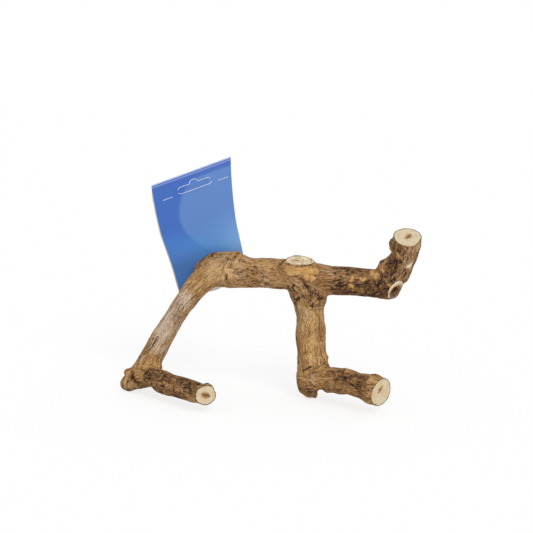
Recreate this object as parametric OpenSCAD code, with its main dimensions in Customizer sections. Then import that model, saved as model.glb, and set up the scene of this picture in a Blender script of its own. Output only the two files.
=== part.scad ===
// Bird perch: one grown hardwood branch that bolts to the wires of a cage.
// Origin: centre of the sawn mounting face, on the axis of the bolt.
// +Y leaves the wood along the bolt towards the cage wall, +Z is up, and the front faces -Y.

/* [Beam] */
// Distance from the knuckle to the beam's sawn end
beam_length = 124; // [100:1:160]
// Thickness of the beam
beam_d = 20.5; // [18:0.5:26]
// How far the beam's end swings forward of the knuckle
beam_forward = 24; // [12:1:36]
// How far the beam's end lies below the knuckle
beam_drop = 9; // [4:0.5:20]
// Depth of the decayed pith hole in the beam's end
pith_hole_depth = 5; // [2:0.5:8]
// Width of the decayed pith hole
pith_hole_d = 9; // [5:0.5:11]

/* [Mounting stub] */
// Length of the stub from the sawn mounting face to the knuckle
stub_length = 26; // [24:1:34]
// Thickness of the stub
stub_d = 21; // [18:0.5:26]
// Sideways offset of the knuckle from the bolt's axis
knuckle_shift = 6; // [0:0.5:8]
// Height of the knuckle above the bolt's axis
knuckle_rise = 4; // [0:0.5:6]

/* [Left arm] */
// How far the arm leans to the left
left_reach = 52; // [40:1:64]
// How far the arm drops
left_drop = 76; // [60:1:90]
// How far the arm leans back
left_back = 10; // [0:1:14]
// Thickness of the arm
left_d = 15.6; // [13:0.2:20]
// How far the toe runs to the right
left_toe_reach = 47; // [36:1:56]
// How far the toe runs forward
left_toe_forward = 59; // [44:1:68]
// Thickness of the toe
left_toe_d = 14; // [12:0.2:16]

/* [Middle arm] */
// How far the arm drops
middle_drop = 71; // [56:1:84]
// How far the arm leans to the right
middle_lean = 6.5; // [2:0.5:12]
// Thickness of the arm
middle_d = 20.5; // [16:0.5:23]
// How far the toe runs to the right
middle_toe_reach = 43; // [34:1:52]
// How far the toe runs forward
middle_toe_forward = 46; // [36:1:56]
// How far the toe arches up
middle_toe_rise = 3; // [0:0.5:6]
// Thickness of the toe
middle_toe_d = 17.6; // [14:0.2:20]

/* [Fork] */
// Height of the fork above the beam's centre
fork_h = 35; // [26:1:44]
// How far the fork leans to the right
fork_reach = 14; // [8:1:20]
// How far the fork leans forward
fork_forward = 12; // [4:1:18]
// Thickness of the fork
fork_d = 19; // [15:0.5:22]

/* [Pruned stub] */
// Height of the pruned stub above the beam's centre
pruned_h = 11; // [10:0.5:16]
// Thickness of the pruned stub
pruned_d = 20; // [16:0.5:22]

/* [Bolt] */
// Diameter of the bolt
bolt_d = 8; // [6:1:8]
// Length of the bolt outside the wood
bolt_out = 40; // [36:1:50]
// Length of the bolt inside the wood
bolt_in = 30; // [20:1:32]
// Length of the plain lead at the bolt's free end
lead_length = 5; // [3:0.5:6]
// Radial step down from the thread to the plain lead
lead_relief = 0.4; // [0.3:0.05:0.6]
// Radial play between the bolt and the pilot hole in the wood
pilot_play = 0.05; // [0.02:0.01:0.1]

/* [Washers and nut] */
// Outer diameter of each washer
washer_d = 30; // [24:0.5:32]
// Thickness of each washer
washer_t = 1.5; // [1:0.1:2]
// Radial play of a washer on the bolt
washer_play = 0.2; // [0.1:0.05:0.3]
// Width of the wing nut across its wings
wing_span = 39; // [30:1:42]
// Height of the wing nut over its wings
wing_h = 20; // [17:0.5:24]
// Thickness of a wing
wing_t = 2.4; // [1.6:0.1:3]
// Diameter of the nut's hub where it seats
hub_d = 16; // [13:0.5:18]
// Diameter of the hub's far end
hub_top_d = 12.6; // [11:0.2:13]
// Height of the hub
hub_h = 9; // [7:0.5:11]
// Turn of the wings from level
wing_turn = 14; // [0:1:40]
// Radial play of the nut on the bolt
thread_play = 0.05; // [0.02:0.01:0.1]

/* [Hang card] */
// Width of the card along its fold
card_w = 59.5; // [50:0.5:70]
// Height of the card from its lower edge to its fold
card_h = 82; // [70:1:90]
// Thickness of one leaf
leaf_t = 0.4; // [0.3:0.05:0.6]
// Gap between the two leaves
leaf_gap = 0.25; // [0.2:0.05:0.4]
// Turn of the card about the bolt
card_turn = 20; // [0:1:30]
// Distance from the bolt's axis down to the card's lower edge
card_margin = 11.5; // [9:0.5:14]
// Radial play of the card on the bolt
card_play = 0.08; // [0.03:0.01:0.1]
// Length of the hanging slot
slot_w = 25; // [20:0.5:30]
// Height of the hanging slot
slot_h = 4.6; // [3:0.1:6]
// Diameter of the crown over the slot's middle
crown_d = 7; // [5:0.5:8]
// Distance from the fold down to the slot
slot_drop = 10; // [8:0.5:14]
// Width of the die-cut lines in the card
die_cut = 0.3; // [0.2:0.05:0.5]
// Length of each uncut bridge that still holds the slot's tab
bridge_w = 2; // [1:0.25:3]
// Length of the slit beside each end of the slot
slit_length = 7.5; // [5:0.5:9]
// Distance from the slot to each slit
slit_gap = 4.5; // [3:0.5:6]

/* [Hidden] */
// Radial faces of each limb and the greatest spacing of its rings
limb_sides = 18;
ring_step = 5;
// Depth of the lengthwise ridges in the wood, as a share of a limb's radius
ridge_share = 0.045;
// Free play between flat faces on the bolt
seat_play = 0.1;
overrun = 1;

radius = bolt_d / 2;
card_t = 2 * leaf_t + leaf_gap;
card_y = seat_play;
inner_washer_y = card_y + card_t + seat_play;
outer_washer_y = inner_washer_y + washer_t + seat_play;
nut_y = outer_washer_y + washer_t + seat_play;
tip_length = radius;

// Places where limbs meet, in the order that the wood grew
knuckle = [knuckle_shift, -stub_length, knuckle_rise];
beam_span = [beam_length, -beam_forward, -beam_drop];

// Stations of a limb: shares of its span along X, Y and Z, then its girth as a share of its thickness
beam_shares = [
    [-0.08, -0.05, 0, 0.6], [-0.04, 0, -0.05, 1.05], [0, 0, -0.1, 1.2], [0.095, 0.08, -0.15, 1.2],
    [0.195, 0.17, 0.1, 0.97], [0.305, 0.25, 0.02, 1.02], [0.49, 0.42, 0.25, 1.06],
    [0.635, 0.5, 0.5, 0.95], [0.745, 0.58, 0.55, 0.93], [0.84, 0.64, 0.66, 0.93],
    [0.93, 0.76, 0.85, 0.88], [0.985, 1, 1, 0.7]
];
stub_shares = [
    [-0.15, 0.1, 0, 0.9], [0, 0, 0, 1.1], [0.35, 0.3, 0.3, 1.02], [0.75, 0.7, 0.7, 0.97], [1, 1, 1, 1]
];
left_arm_shares = [
    [-0.14, 0, -0.06, 1], [0, 0, 0, 1.36], [0.16, 0, 0.09, 1.17], [0.385, 0.2, 0.265, 0.98],
    [0.615, 0.5, 0.505, 0.94], [0.76, 0.7, 0.68, 0.97], [0.895, 0.9, 0.845, 1.1], [1, 1, 1, 1.3]
];
left_toe_shares = [
    [-0.05, 0, 0, 1.1], [0.09, 0.15, 0.2, 1.25], [0.345, 0.41, 0.1, 1], [0.6, 0.645, 0.1, 0.93],
    [0.79, 0.81, 0.1, 1], [1, 1, 0, 0.95]
];
middle_arm_shares = [
    [0, 0, 0, 1.13], [0.54, 0, 0.2, 1.18], [0.65, 0, 0.32, 1], [0.75, 0, 0.47, 0.97],
    [0.77, 0, 0.62, 1], [0.89, 0, 0.8, 1.01], [1, 0, 1, 0.98]
];
middle_toe_shares = [
    [-0.04, 0.02, 0, 1.02], [0.155, 0.18, 0.2, 1.06], [0.485, 0.5, 1, 0.95], [0.735, 0.75, 0.87, 0.99],
    [0.89, 0.9, 0.45, 1.02], [1, 1, 0.3, 0.87]
];
fork_shares = [
    [-0.25, 0, 0, 0.93], [0.3, 0.1, 0.2, 1.05], [0.76, 0.4, 0.5, 0.98], [0.95, 0.7, 0.77, 0.95],
    [0.98, 1, 1, 1.03]
];
pruned_shares = [[0, 0, 0, 1.1], [-0.2, 0, 0.55, 1], [-0.28, 0, 1, 1]];
// Direction of the saw cut across the beam's end
beam_face_shares = [0.65, -0.61, -0.45];
// Places of the card's corners left of the bolt, and of its lower right corner, in shares of its width
card_left_share = 0.28;
card_low_left_share = 0.42;
card_low_right_share = 0.59;
// A knot's stations along its own length
knot_shares = [
    [-0.2, -0.2, -0.2, 0.9], [0.2, 0.2, 0.2, 1.15], [0.5, 0.5, 0.5, 1.1], [0.75, 0.75, 0.75, 0.92],
    [0.92, 0.92, 0.92, 0.6], [1, 1, 1, 0.2]
];

beam = limb(knuckle, beam_span, beam_shares, beam_d);
stub = limb(knuckle, -knuckle, stub_shares, stub_d);
left_arm = limb(knuckle, [-left_reach, left_back, -left_drop], left_arm_shares, left_d);
left_foot = place(left_arm[len(left_arm) - 1]);
left_toe = limb(left_foot, [left_toe_reach, -left_toe_forward, left_toe_d / 4], left_toe_shares, left_toe_d);
middle_root = place(beam[6]);
middle_arm = limb(middle_root, [middle_lean, 0, -middle_drop], middle_arm_shares, middle_d);
middle_foot = place(middle_arm[len(middle_arm) - 1]);
middle_toe = limb(
    middle_foot, [middle_toe_reach, -middle_toe_forward, middle_toe_rise], middle_toe_shares, middle_toe_d
);
fork_root = place(beam[10]);
fork = limb(fork_root, [fork_reach, -fork_forward, fork_h], fork_shares, fork_d);
pruned = limb(middle_root, [pruned_h, 0, pruned_h], pruned_shares, pruned_d);

function unit(v) = v / norm(v);
function place(station) = [station.x, station.y, station.z];
function limb(root, span, shares, thickness) = [
    for (s = shares) [root.x + s.x * span.x, root.y + s.y * span.y, root.z + s.z * span.z, s[3] * thickness / 2]
];

// A smooth curve through stations b and c, with a and d as their neighbours
function between(a, b, c, d, t) = (
    2 * b + (c - a) * t + (2 * a - 5 * b + 4 * c - d) * t * t + (3 * b - a - 3 * c + d) * t * t * t
) / 2;

function smooth(stations) = let (last = len(stations) - 1) concat(
    [for (i = [0 : last - 1])
        let (
            before = stations[max(i - 1, 0)],
            after = stations[min(i + 2, last)],
            steps = max(2, ceil(norm(place(stations[i + 1] - stations[i])) / ring_step))
        )
        for (j = [0 : steps - 1]) between(before, stations[i], stations[i + 1], after, j / steps)],
    [stations[last]]
);

function heading(path, i) = unit(place(path[min(i + 1, len(path) - 1)] - path[max(i - 1, 0)]));
function square_to(v, axis) = unit(v - (v * axis) * axis);

// Sideways directions carried along the path without twist
function carried(path, first) = [
    for (i = 0, side = square_to(first, heading(path, 0)); i < len(path);
        i = i + 1, side = square_to(side, heading(path, min(i, len(path) - 1)))) side
];

// Swelling of the bark round a ring: broad lobes with finer ridges that wander along the limb
function bark(angle, turn) = 1 + ridge_share * (
    sin(2 * angle + turn) + 0.6 * sin(3 * angle - 1.7 * turn) + 0.4 * sin(5 * angle + 2.3 * turn)
);

// Moves a point along a limb's axis into the plane of the saw cut
function sawn(point, centre, axis, face) = point - axis * ((point - centre) * face) / (axis * face);

module grown(stations, first, seed, face = [0, 0, 0], limb_sides = limb_sides) {
    path = smooth(stations);
    sides = carried(path, first);
    last = len(path) - 1;
    rings = [
        for (i = [0 : last])
            let (
                centre = place(path[i]),
                axis = heading(path, i),
                side = sides[i],
                across = cross(axis, side),
                turn = seed + 900 * i / (last + 1)
            )
            for (j = [0 : limb_sides - 1])
                let (
                    angle = 360 * j / limb_sides,
                    point = centre + path[i][3] * bark(angle, turn) * (cos(angle) * side + sin(angle) * across)
                )
                i == last && norm(face) > 0 ? sawn(point, centre, axis, unit(face)) : point
    ];
    skin = [
        for (i = [0 : last - 1], j = [0 : limb_sides - 1])
            let (
                a = i * limb_sides + j,
                b = i * limb_sides + (j + 1) % limb_sides
            )
            each [[a, a + limb_sides, b], [b, a + limb_sides, b + limb_sides]]
    ];
    root_end = [for (j = [0 : limb_sides - 1]) j];
    sawn_end = [for (j = [limb_sides - 1 : -1 : 0]) last * limb_sides + j];
    polyhedron(points = rings, faces = concat(skin, [root_end], [sawn_end]), convexity = 6);
}

module along_bolt(y) {
    translate([0, y, 0]) rotate([-90, 0, 0]) children();
}

// A knot or burl on a limb's station, with its reach and girth as shares of the limb's girth there
module knot(station, toward, reach_share, girth_share, seed) {
    knot_span = unit(toward) * station[3] * reach_share;
    grown(limb(place(station), knot_span, knot_shares, 2 * station[3] * girth_share), [0, 1, 0.2], seed, limb_sides = 12);
}

module knots() {
    knot(left_arm[7], [-1, 0.15, -0.6], 1.8, 0.62, 20);
    knot(left_arm[7], [-1, -0.1, 0.2], 1.35, 0.4, 120);
    knot(left_arm[7], [0.1, 0, -1], 1.05, 0.8, 60);
    knot(middle_arm[6], [-0.2, 0.1, -1], 1.42, 0.8, 100);
    knot(middle_arm[5], [1, -0.3, 0.1], 1.28, 0.32, 10);
    knot(middle_arm[1], [-1, -0.2, 0.1], 1.12, 0.4, 230);
    knot(fork[3], [-1, -0.2, 0.5], 1.35, 0.6, 170);
    knot(beam[3], [0.35, -0.35, 1], 1.1, 0.45, 300);
    knot(left_arm[6], [0.57, -0.67, -0.48], 1.5, 0.5, 30);
    knot(middle_arm[5], [0.75, -0.45, -0.65], 1.7, 0.5, 140);
}

// The decayed heart in the beam's sawn end
module pith_hole() {
    end = beam[len(beam) - 1];
    inward = unit(place(beam[len(beam) - 3]) - place(end));
    translate(place(end))
        rotate([0, acos(inward.z), atan2(inward.y, inward.x)])
            translate([pith_hole_d / 5, 0, -overrun])
                cylinder(h = pith_hole_depth + overrun, d1 = pith_hole_d, d2 = pith_hole_d / 2, $fn = 24);
}

module grown_wood() {
    grown(beam, [0, 1, 0], 40, beam_face_shares);
    grown(stub, [0, 0, 1], 260, [0, 1, 0]);
    knots();
    grown(left_arm, [0, 1, 0], 10);
    grown(left_toe, [0, 0, 1], 200, [0.25, -0.97, 0]);
    grown(middle_arm, [0, 1, 0], 150);
    grown(middle_toe, [0, 0, 1], 75, [0.72, -0.69, 0.05]);
    grown(fork, [0, 1, 0], 310, [0, -0.5, 0.87]);
    grown(pruned, [0, 1, 0], 90, [0, -0.17, 0.98]);
}

module branch() {
    color("peru")
    difference() {
        resize([0, 0, 0]) difference() {
            union() grown_wood();
            pith_hole();
        }
        along_bolt(-bolt_in) cylinder(h = bolt_in + overrun, r = radius + pilot_play, $fn = 48);
    }
}

module hanger_bolt() {
    thread_out = bolt_out - lead_length;
    color("silver") {
        along_bolt(-bolt_in) cylinder(h = tip_length, r1 = radius / 4, r2 = radius, $fn = 48);
        along_bolt(tip_length - bolt_in) cylinder(h = bolt_in - tip_length + thread_out, r = radius, $fn = 48);
        along_bolt(thread_out) cylinder(h = lead_length, r = radius - lead_relief, $fn = 48);
    }
}

module washer(y) {
    color("gainsboro")
    along_bolt(y) difference() {
        cylinder(h = washer_t, d = washer_d, $fn = 64);
        translate([0, 0, -overrun]) cylinder(h = washer_t + 2 * overrun, r = radius + washer_play, $fn = 48);
    }
}

module inner_washer() {
    washer(inner_washer_y);
}

module outer_washer() {
    washer(outer_washer_y);
}

// Two circles joined by their outer tangents
module strap(from, from_r, to, to_r) {
    gap = to - from;
    lean = atan2(gap.y, gap.x);
    spread = acos((from_r - to_r) / norm(gap));
    function rim(centre, r, side) = centre + r * [cos(lean + side * spread), sin(lean + side * spread)];
    translate(from) circle(r = from_r, $fn = 48);
    translate(to) circle(r = to_r, $fn = 48);
    polygon([rim(from, from_r, 1), rim(from, from_r, -1), rim(to, to_r, -1), rim(to, to_r, 1)]);
}

// One wing, drawn in the plane of its width and height
module wing() {
    ear_r = wing_h / 4;
    root_r = hub_h / 3;
    rotate([90, 0, 0]) translate([0, 0, -wing_t / 2]) linear_extrude(wing_t)
        strap([hub_top_d / 4 + radius / 2, hub_h / 2], root_r, [wing_span / 2 - ear_r, wing_h - ear_r], ear_r);
}

module wing_nut() {
    color("gainsboro")
    along_bolt(nut_y) rotate([0, 0, wing_turn]) difference() {
        union() {
            cylinder(h = hub_h, d1 = hub_d, d2 = hub_top_d, $fn = 48);
            wing();
            mirror([1, 0, 0]) wing();
        }
        translate([0, 0, -overrun]) cylinder(h = hub_h + 2 * overrun, r = radius + thread_play, $fn = 48);
    }
}

// The card's outline in its own plane, with the bolt's axis at the origin
module card_blank() {
    fold_z = card_h - card_margin;
    polygon([
        [-card_w * card_left_share, fold_z], [-card_w * card_low_left_share, -card_margin],
        [card_w * (1 - card_low_right_share), -card_margin], [card_w * (1 - card_left_share), fold_z]
    ]);
}

// The hanging slot's outline, grown or shrunk all round
module hanging_slot(grow) {
    reach = (slot_w - slot_h) / 2;
    for (side = [-1, 1]) translate([side * reach, 0]) circle(r = slot_h / 2 + grow, $fn = 32);
    square([2 * reach, slot_h + 2 * grow], center = true);
    translate([0, slot_h / 4]) circle(r = crown_d / 2 + grow, $fn = 32);
}

// The slot's tab is die-cut but not punched out, and a slit runs on in line with its lower edge at each end
module die_cuts() {
    difference() {
        hanging_slot(die_cut / 2);
        hanging_slot(-die_cut / 2);
        square([slot_w + overrun, bridge_w], center = true);
    }
    for (side = [-1, 1])
        translate([side * (slot_w / 2 + slit_gap + slit_length / 2), -slot_h / 2])
            square([slit_length, die_cut], center = true);
}

module hang_card() {
    fold_z = card_h - card_margin;
    color("cornflowerblue")
    translate([0, card_y + card_t, 0]) rotate([90, 0, 0]) rotate([0, 0, card_turn]) difference() {
        union() {
            linear_extrude(card_t) difference() {
                card_blank();
                translate([card_w * (0.5 - card_left_share), fold_z - slot_drop]) die_cuts();
            }
            translate([-card_w * card_left_share, fold_z, card_t / 2])
                rotate([0, 90, 0]) cylinder(h = card_w, d = card_t, $fn = 24);
        }
        translate([-card_w, -card_h, leaf_t]) cube([2 * card_w, card_h + fold_z, leaf_gap]);
        translate([0, 0, -overrun]) cylinder(h = card_t + 2 * overrun, r = radius + card_play, $fn = 48);
    }
}

branch();
hanger_bolt();
inner_washer();
outer_washer();
wing_nut();
hang_card();
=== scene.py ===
"""Looks of the bird perch: a grown branch with sawn ends, its bolt, washers, wing nut and hang card."""

import logging
import math
from dataclasses import dataclass
from enum import Enum, IntEnum

import bmesh
import bpy
import numpy as np
from mathutils import Matrix, Vector, noise

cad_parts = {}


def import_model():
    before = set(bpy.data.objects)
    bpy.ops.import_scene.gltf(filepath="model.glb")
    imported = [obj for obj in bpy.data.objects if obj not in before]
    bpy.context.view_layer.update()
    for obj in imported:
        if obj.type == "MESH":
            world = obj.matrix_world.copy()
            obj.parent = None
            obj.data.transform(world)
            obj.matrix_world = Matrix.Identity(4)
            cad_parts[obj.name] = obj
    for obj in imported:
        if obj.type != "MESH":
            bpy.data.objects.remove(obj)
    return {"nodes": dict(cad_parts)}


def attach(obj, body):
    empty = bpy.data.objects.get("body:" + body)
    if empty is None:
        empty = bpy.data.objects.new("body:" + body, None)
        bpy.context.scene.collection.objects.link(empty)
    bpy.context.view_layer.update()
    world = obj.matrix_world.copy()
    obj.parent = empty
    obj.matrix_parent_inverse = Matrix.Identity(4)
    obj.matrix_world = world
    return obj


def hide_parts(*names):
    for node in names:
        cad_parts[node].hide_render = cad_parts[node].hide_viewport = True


LOG = logging.getLogger("bird_perch")

# Millimetres to metres and back, and how close two points are before they are merged, in metres.
MM = 0.001
TO_MM = 1000
MERGE = 1e-6

# How far apart the patterns of two limbs, and of two sawn ends, are taken from the same noise.
LIMB_PATTERN_GAP = 37.0
SAWN_PATTERN_GAP = 13.0

Station = tuple[float, float, float, float]
Point = tuple[float, float, float]
Colour = tuple[float, float, float, float]
Stops = tuple[tuple[float, Colour], ...]
Socket = bpy.types.NodeSocket


def smoothstep(low: float, high: float, value: np.ndarray) -> np.ndarray:
    """Ease from 0 at low to 1 at high.

    Args:
        low: Where the result is still 0.
        high: Where the result has reached 1.
        value: The numbers to ease.

    Returns:
        The eased numbers.
    """
    share = np.clip((value - low) / (high - low), 0.0, 1.0)
    return share * share * (3.0 - 2.0 * share)


def eased(low: float, high: float, value: float) -> float:
    """Ease one number from 0 at low to 1 at high."""
    return float(smoothstep(low, high, np.float64(value)))


def unit(vector: np.ndarray) -> np.ndarray:
    """Return the vector, or each row of it, at length 1."""
    length = np.linalg.norm(vector, axis=-1, keepdims=True)
    return vector / np.maximum(length, 1e-12)


class Wiring:
    """Adds the nodes of one node tree, and links them."""

    def __init__(self, tree: bpy.types.NodeTree) -> None:
        """Start with the tree emptied."""
        self.tree = tree
        self.tree.nodes.clear()

    def add(
        self, kind: str, inputs: dict[str | int, object] | None = None, **settings: object
    ) -> bpy.types.Node:
        """Add a node.

        Args:
            kind: The node's type without its ShaderNode start.
            inputs: Sockets to link, or values to set, by input name or number.
            **settings: Properties of the node.

        Returns:
            The new node.
        """
        node = self.tree.nodes.new("ShaderNode" + kind)
        for key, value in settings.items():
            setattr(node, key, value)
        for key, value in (inputs or {}).items():
            if isinstance(value, Socket):
                self.tree.links.new(value, node.inputs[key])
            else:
                node.inputs[key].default_value = value
        return node

    def place(self) -> Socket:
        """Return the Object coordinates, in metres."""
        return self.add("TexCoord").outputs["Object"]

    def spot(self) -> Socket:
        """Return the Object coordinates, in millimetres."""
        return self.stretch(self.place(), (TO_MM, TO_MM, TO_MM))

    def attribute(self, name: str, output: str = "Vector") -> Socket:
        """Return an output of a mesh attribute."""
        return self.add("Attribute", attribute_name=name).outputs[output]

    def parts(self, vector: Socket) -> tuple[Socket, ...]:
        """Return the three numbers of a vector."""
        return tuple(self.add("SeparateXYZ", {0: vector}).outputs)

    def stretch(
        self, vector: Socket, scale: Point, shift: Point = (0, 0, 0), turn: Point = (0, 0, 0)
    ) -> Socket:
        """Scale a pattern's coordinates, turn them by radians about each axis, and shift them."""
        sizes = {"Vector": vector, "Scale": scale, "Location": shift, "Rotation": turn}
        return self.add("Mapping", sizes).outputs[0]

    def shift(self, vector: Socket, by: Point) -> Socket:
        """Return the coordinates moved to another part of a pattern."""
        return self.stretch(vector, (1, 1, 1), by)

    def vector(self, operation: str, first: object, second: object) -> Socket:
        """Return a Vector Math node's result for two vectors."""
        return self.add("VectorMath", {0: first, 1: second}, operation=operation).outputs[0]

    def length(self, vector: Socket) -> Socket:
        """Return a vector's length."""
        return self.add("VectorMath", {0: vector}, operation="LENGTH").outputs["Value"]

    def grit(
        self, vector: Socket, scale: float, detail: float = 3.0, rough: float = 0.55, swirl: float = 0.0
    ) -> Socket:
        """Return cloudy noise from 0 to 1: clouds per unit, finer layers, their strength and a swirl."""
        sizes = {"Vector": vector, "Scale": scale, "Detail": detail, "Roughness": rough, "Distortion": swirl}
        return self.add("TexNoise", sizes).outputs["Fac"]

    def wobble(self, vector: Socket, scale: float, detail: float, rough: float) -> Socket:
        """Return three cloudy noises at once, as a vector."""
        sizes = {"Vector": vector, "Scale": scale, "Detail": detail, "Roughness": rough}
        return self.add("TexNoise", sizes).outputs["Color"]

    def maths(
        self, operation: str, first: object, second: object = 0.0, third: object = 0.0, clamp: bool = False
    ) -> Socket:
        """Return a Math node's result, kept from 0 to 1 where clamp is set."""
        sizes = {0: first, 1: second, 2: third}
        return self.add("Math", sizes, operation=operation, use_clamp=clamp).outputs[0]

    def plus(self, first: object, second: object) -> Socket:
        """Return two numbers added."""
        return self.maths("ADD", first, second)

    def minus(self, first: object, second: object) -> Socket:
        """Return the first number less the second."""
        return self.maths("SUBTRACT", first, second)

    def rest(self, share: object) -> Socket:
        """Return what a share leaves of 1."""
        return self.minus(1.0, share)

    def times(self, first: object, second: object, clamp: bool = False) -> Socket:
        """Return the product of two numbers."""
        return self.maths("MULTIPLY", first, second, clamp=clamp)

    def line(self, value: object, slope: object, start: object, clamp: bool = False) -> Socket:
        """Return a number times a slope, plus a start."""
        return self.maths("MULTIPLY_ADD", value, slope, start, clamp)

    def most(self, first: object, second: object) -> Socket:
        """Return the larger of two numbers."""
        return self.maths("MAXIMUM", first, second)

    def unsigned(self, value: object) -> Socket:
        """Return a number without its sign."""
        return self.maths("ABSOLUTE", value)

    def wave(self, value: object) -> Socket:
        """Return a number's sine."""
        return self.maths("SINE", value)

    def ease(self, value: object, low: object, high: object) -> Socket:
        """Ease a number from 0 at low to 1 at high."""
        sizes = {"Value": value, "From Min": low, "From Max": high}
        return self.add("MapRange", sizes, interpolation_type="SMOOTHSTEP").outputs[0]

    def ramp(self, value: Socket, stops: Stops) -> Socket:
        """Turn a number into a colour.

        Args:
            value: The number.
            stops: Places from 0 to 1, each with its colour.

        Returns:
            The colour.
        """
        node = self.add("ValToRGB", {0: value})
        row = node.color_ramp.elements
        while len(row) < len(stops):
            row.new(0.5)
        for element, (place, colour) in zip(row, stops):
            element.position = place
            element.color = colour
        return node.outputs[0]

    def between(self, share: object, first: object, second: object) -> Socket:
        """Mix two numbers, by the share of the second one."""
        return self.add("Mix", {0: share, 2: first, 3: second}, data_type="FLOAT").outputs[0]

    def mix(self, share: object, first: object, second: object) -> Socket:
        """Mix two colours, by the share of the second one."""
        return self.add("Mix", {0: share, 6: first, 7: second}, data_type="RGBA").outputs[2]

    def bump(self, height: Socket, depth: float, strength: float) -> Socket:
        """Return normals roughened by a height, which is depth metres at 1, at some strength."""
        return self.add("Bump", {"Height": height, "Distance": depth, "Strength": strength}).outputs[0]


class Recipe(Wiring):
    """Wires the nodes of one material."""

    def __init__(self, name: str) -> None:
        """Start an empty material.

        Args:
            name: The finish's name.
        """
        self.material = bpy.data.materials.new(name)
        self.material.use_nodes = True
        super().__init__(self.material.node_tree)

    def finish(self, inputs: dict[str, object]) -> bpy.types.Material:
        """Close the recipe with its surface.

        Args:
            inputs: Inputs of the Principled shader.

        Returns:
            The material.
        """
        surface = self.add("BsdfPrincipled", inputs)
        self.add("OutputMaterial", {"Surface": surface.outputs[0]})
        return self.material


@dataclass(frozen=True)
class BarkPlaces:
    """What the layers of the bark share: coordinates, painted amounts and patterns.

    spot is a place in space and grain one along the limb, both in millimetres. dark, peel,
    crease, grey and warm are painted on the wood, crease being painted shade in the creases,
    hollows and furrows, and fold is the distance to the nearest crease. loose is where the
    warm bark is crumbly. The rest are noises.
    """

    spot: Socket
    grain: Socket
    dark: Socket
    peel: Socket
    crease: Socket
    grey: Socket
    warm: Socket
    fold: Socket
    loose: Socket
    hair: Socket
    knotted: Socket
    crumb: Socket
    body: Socket


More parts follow.
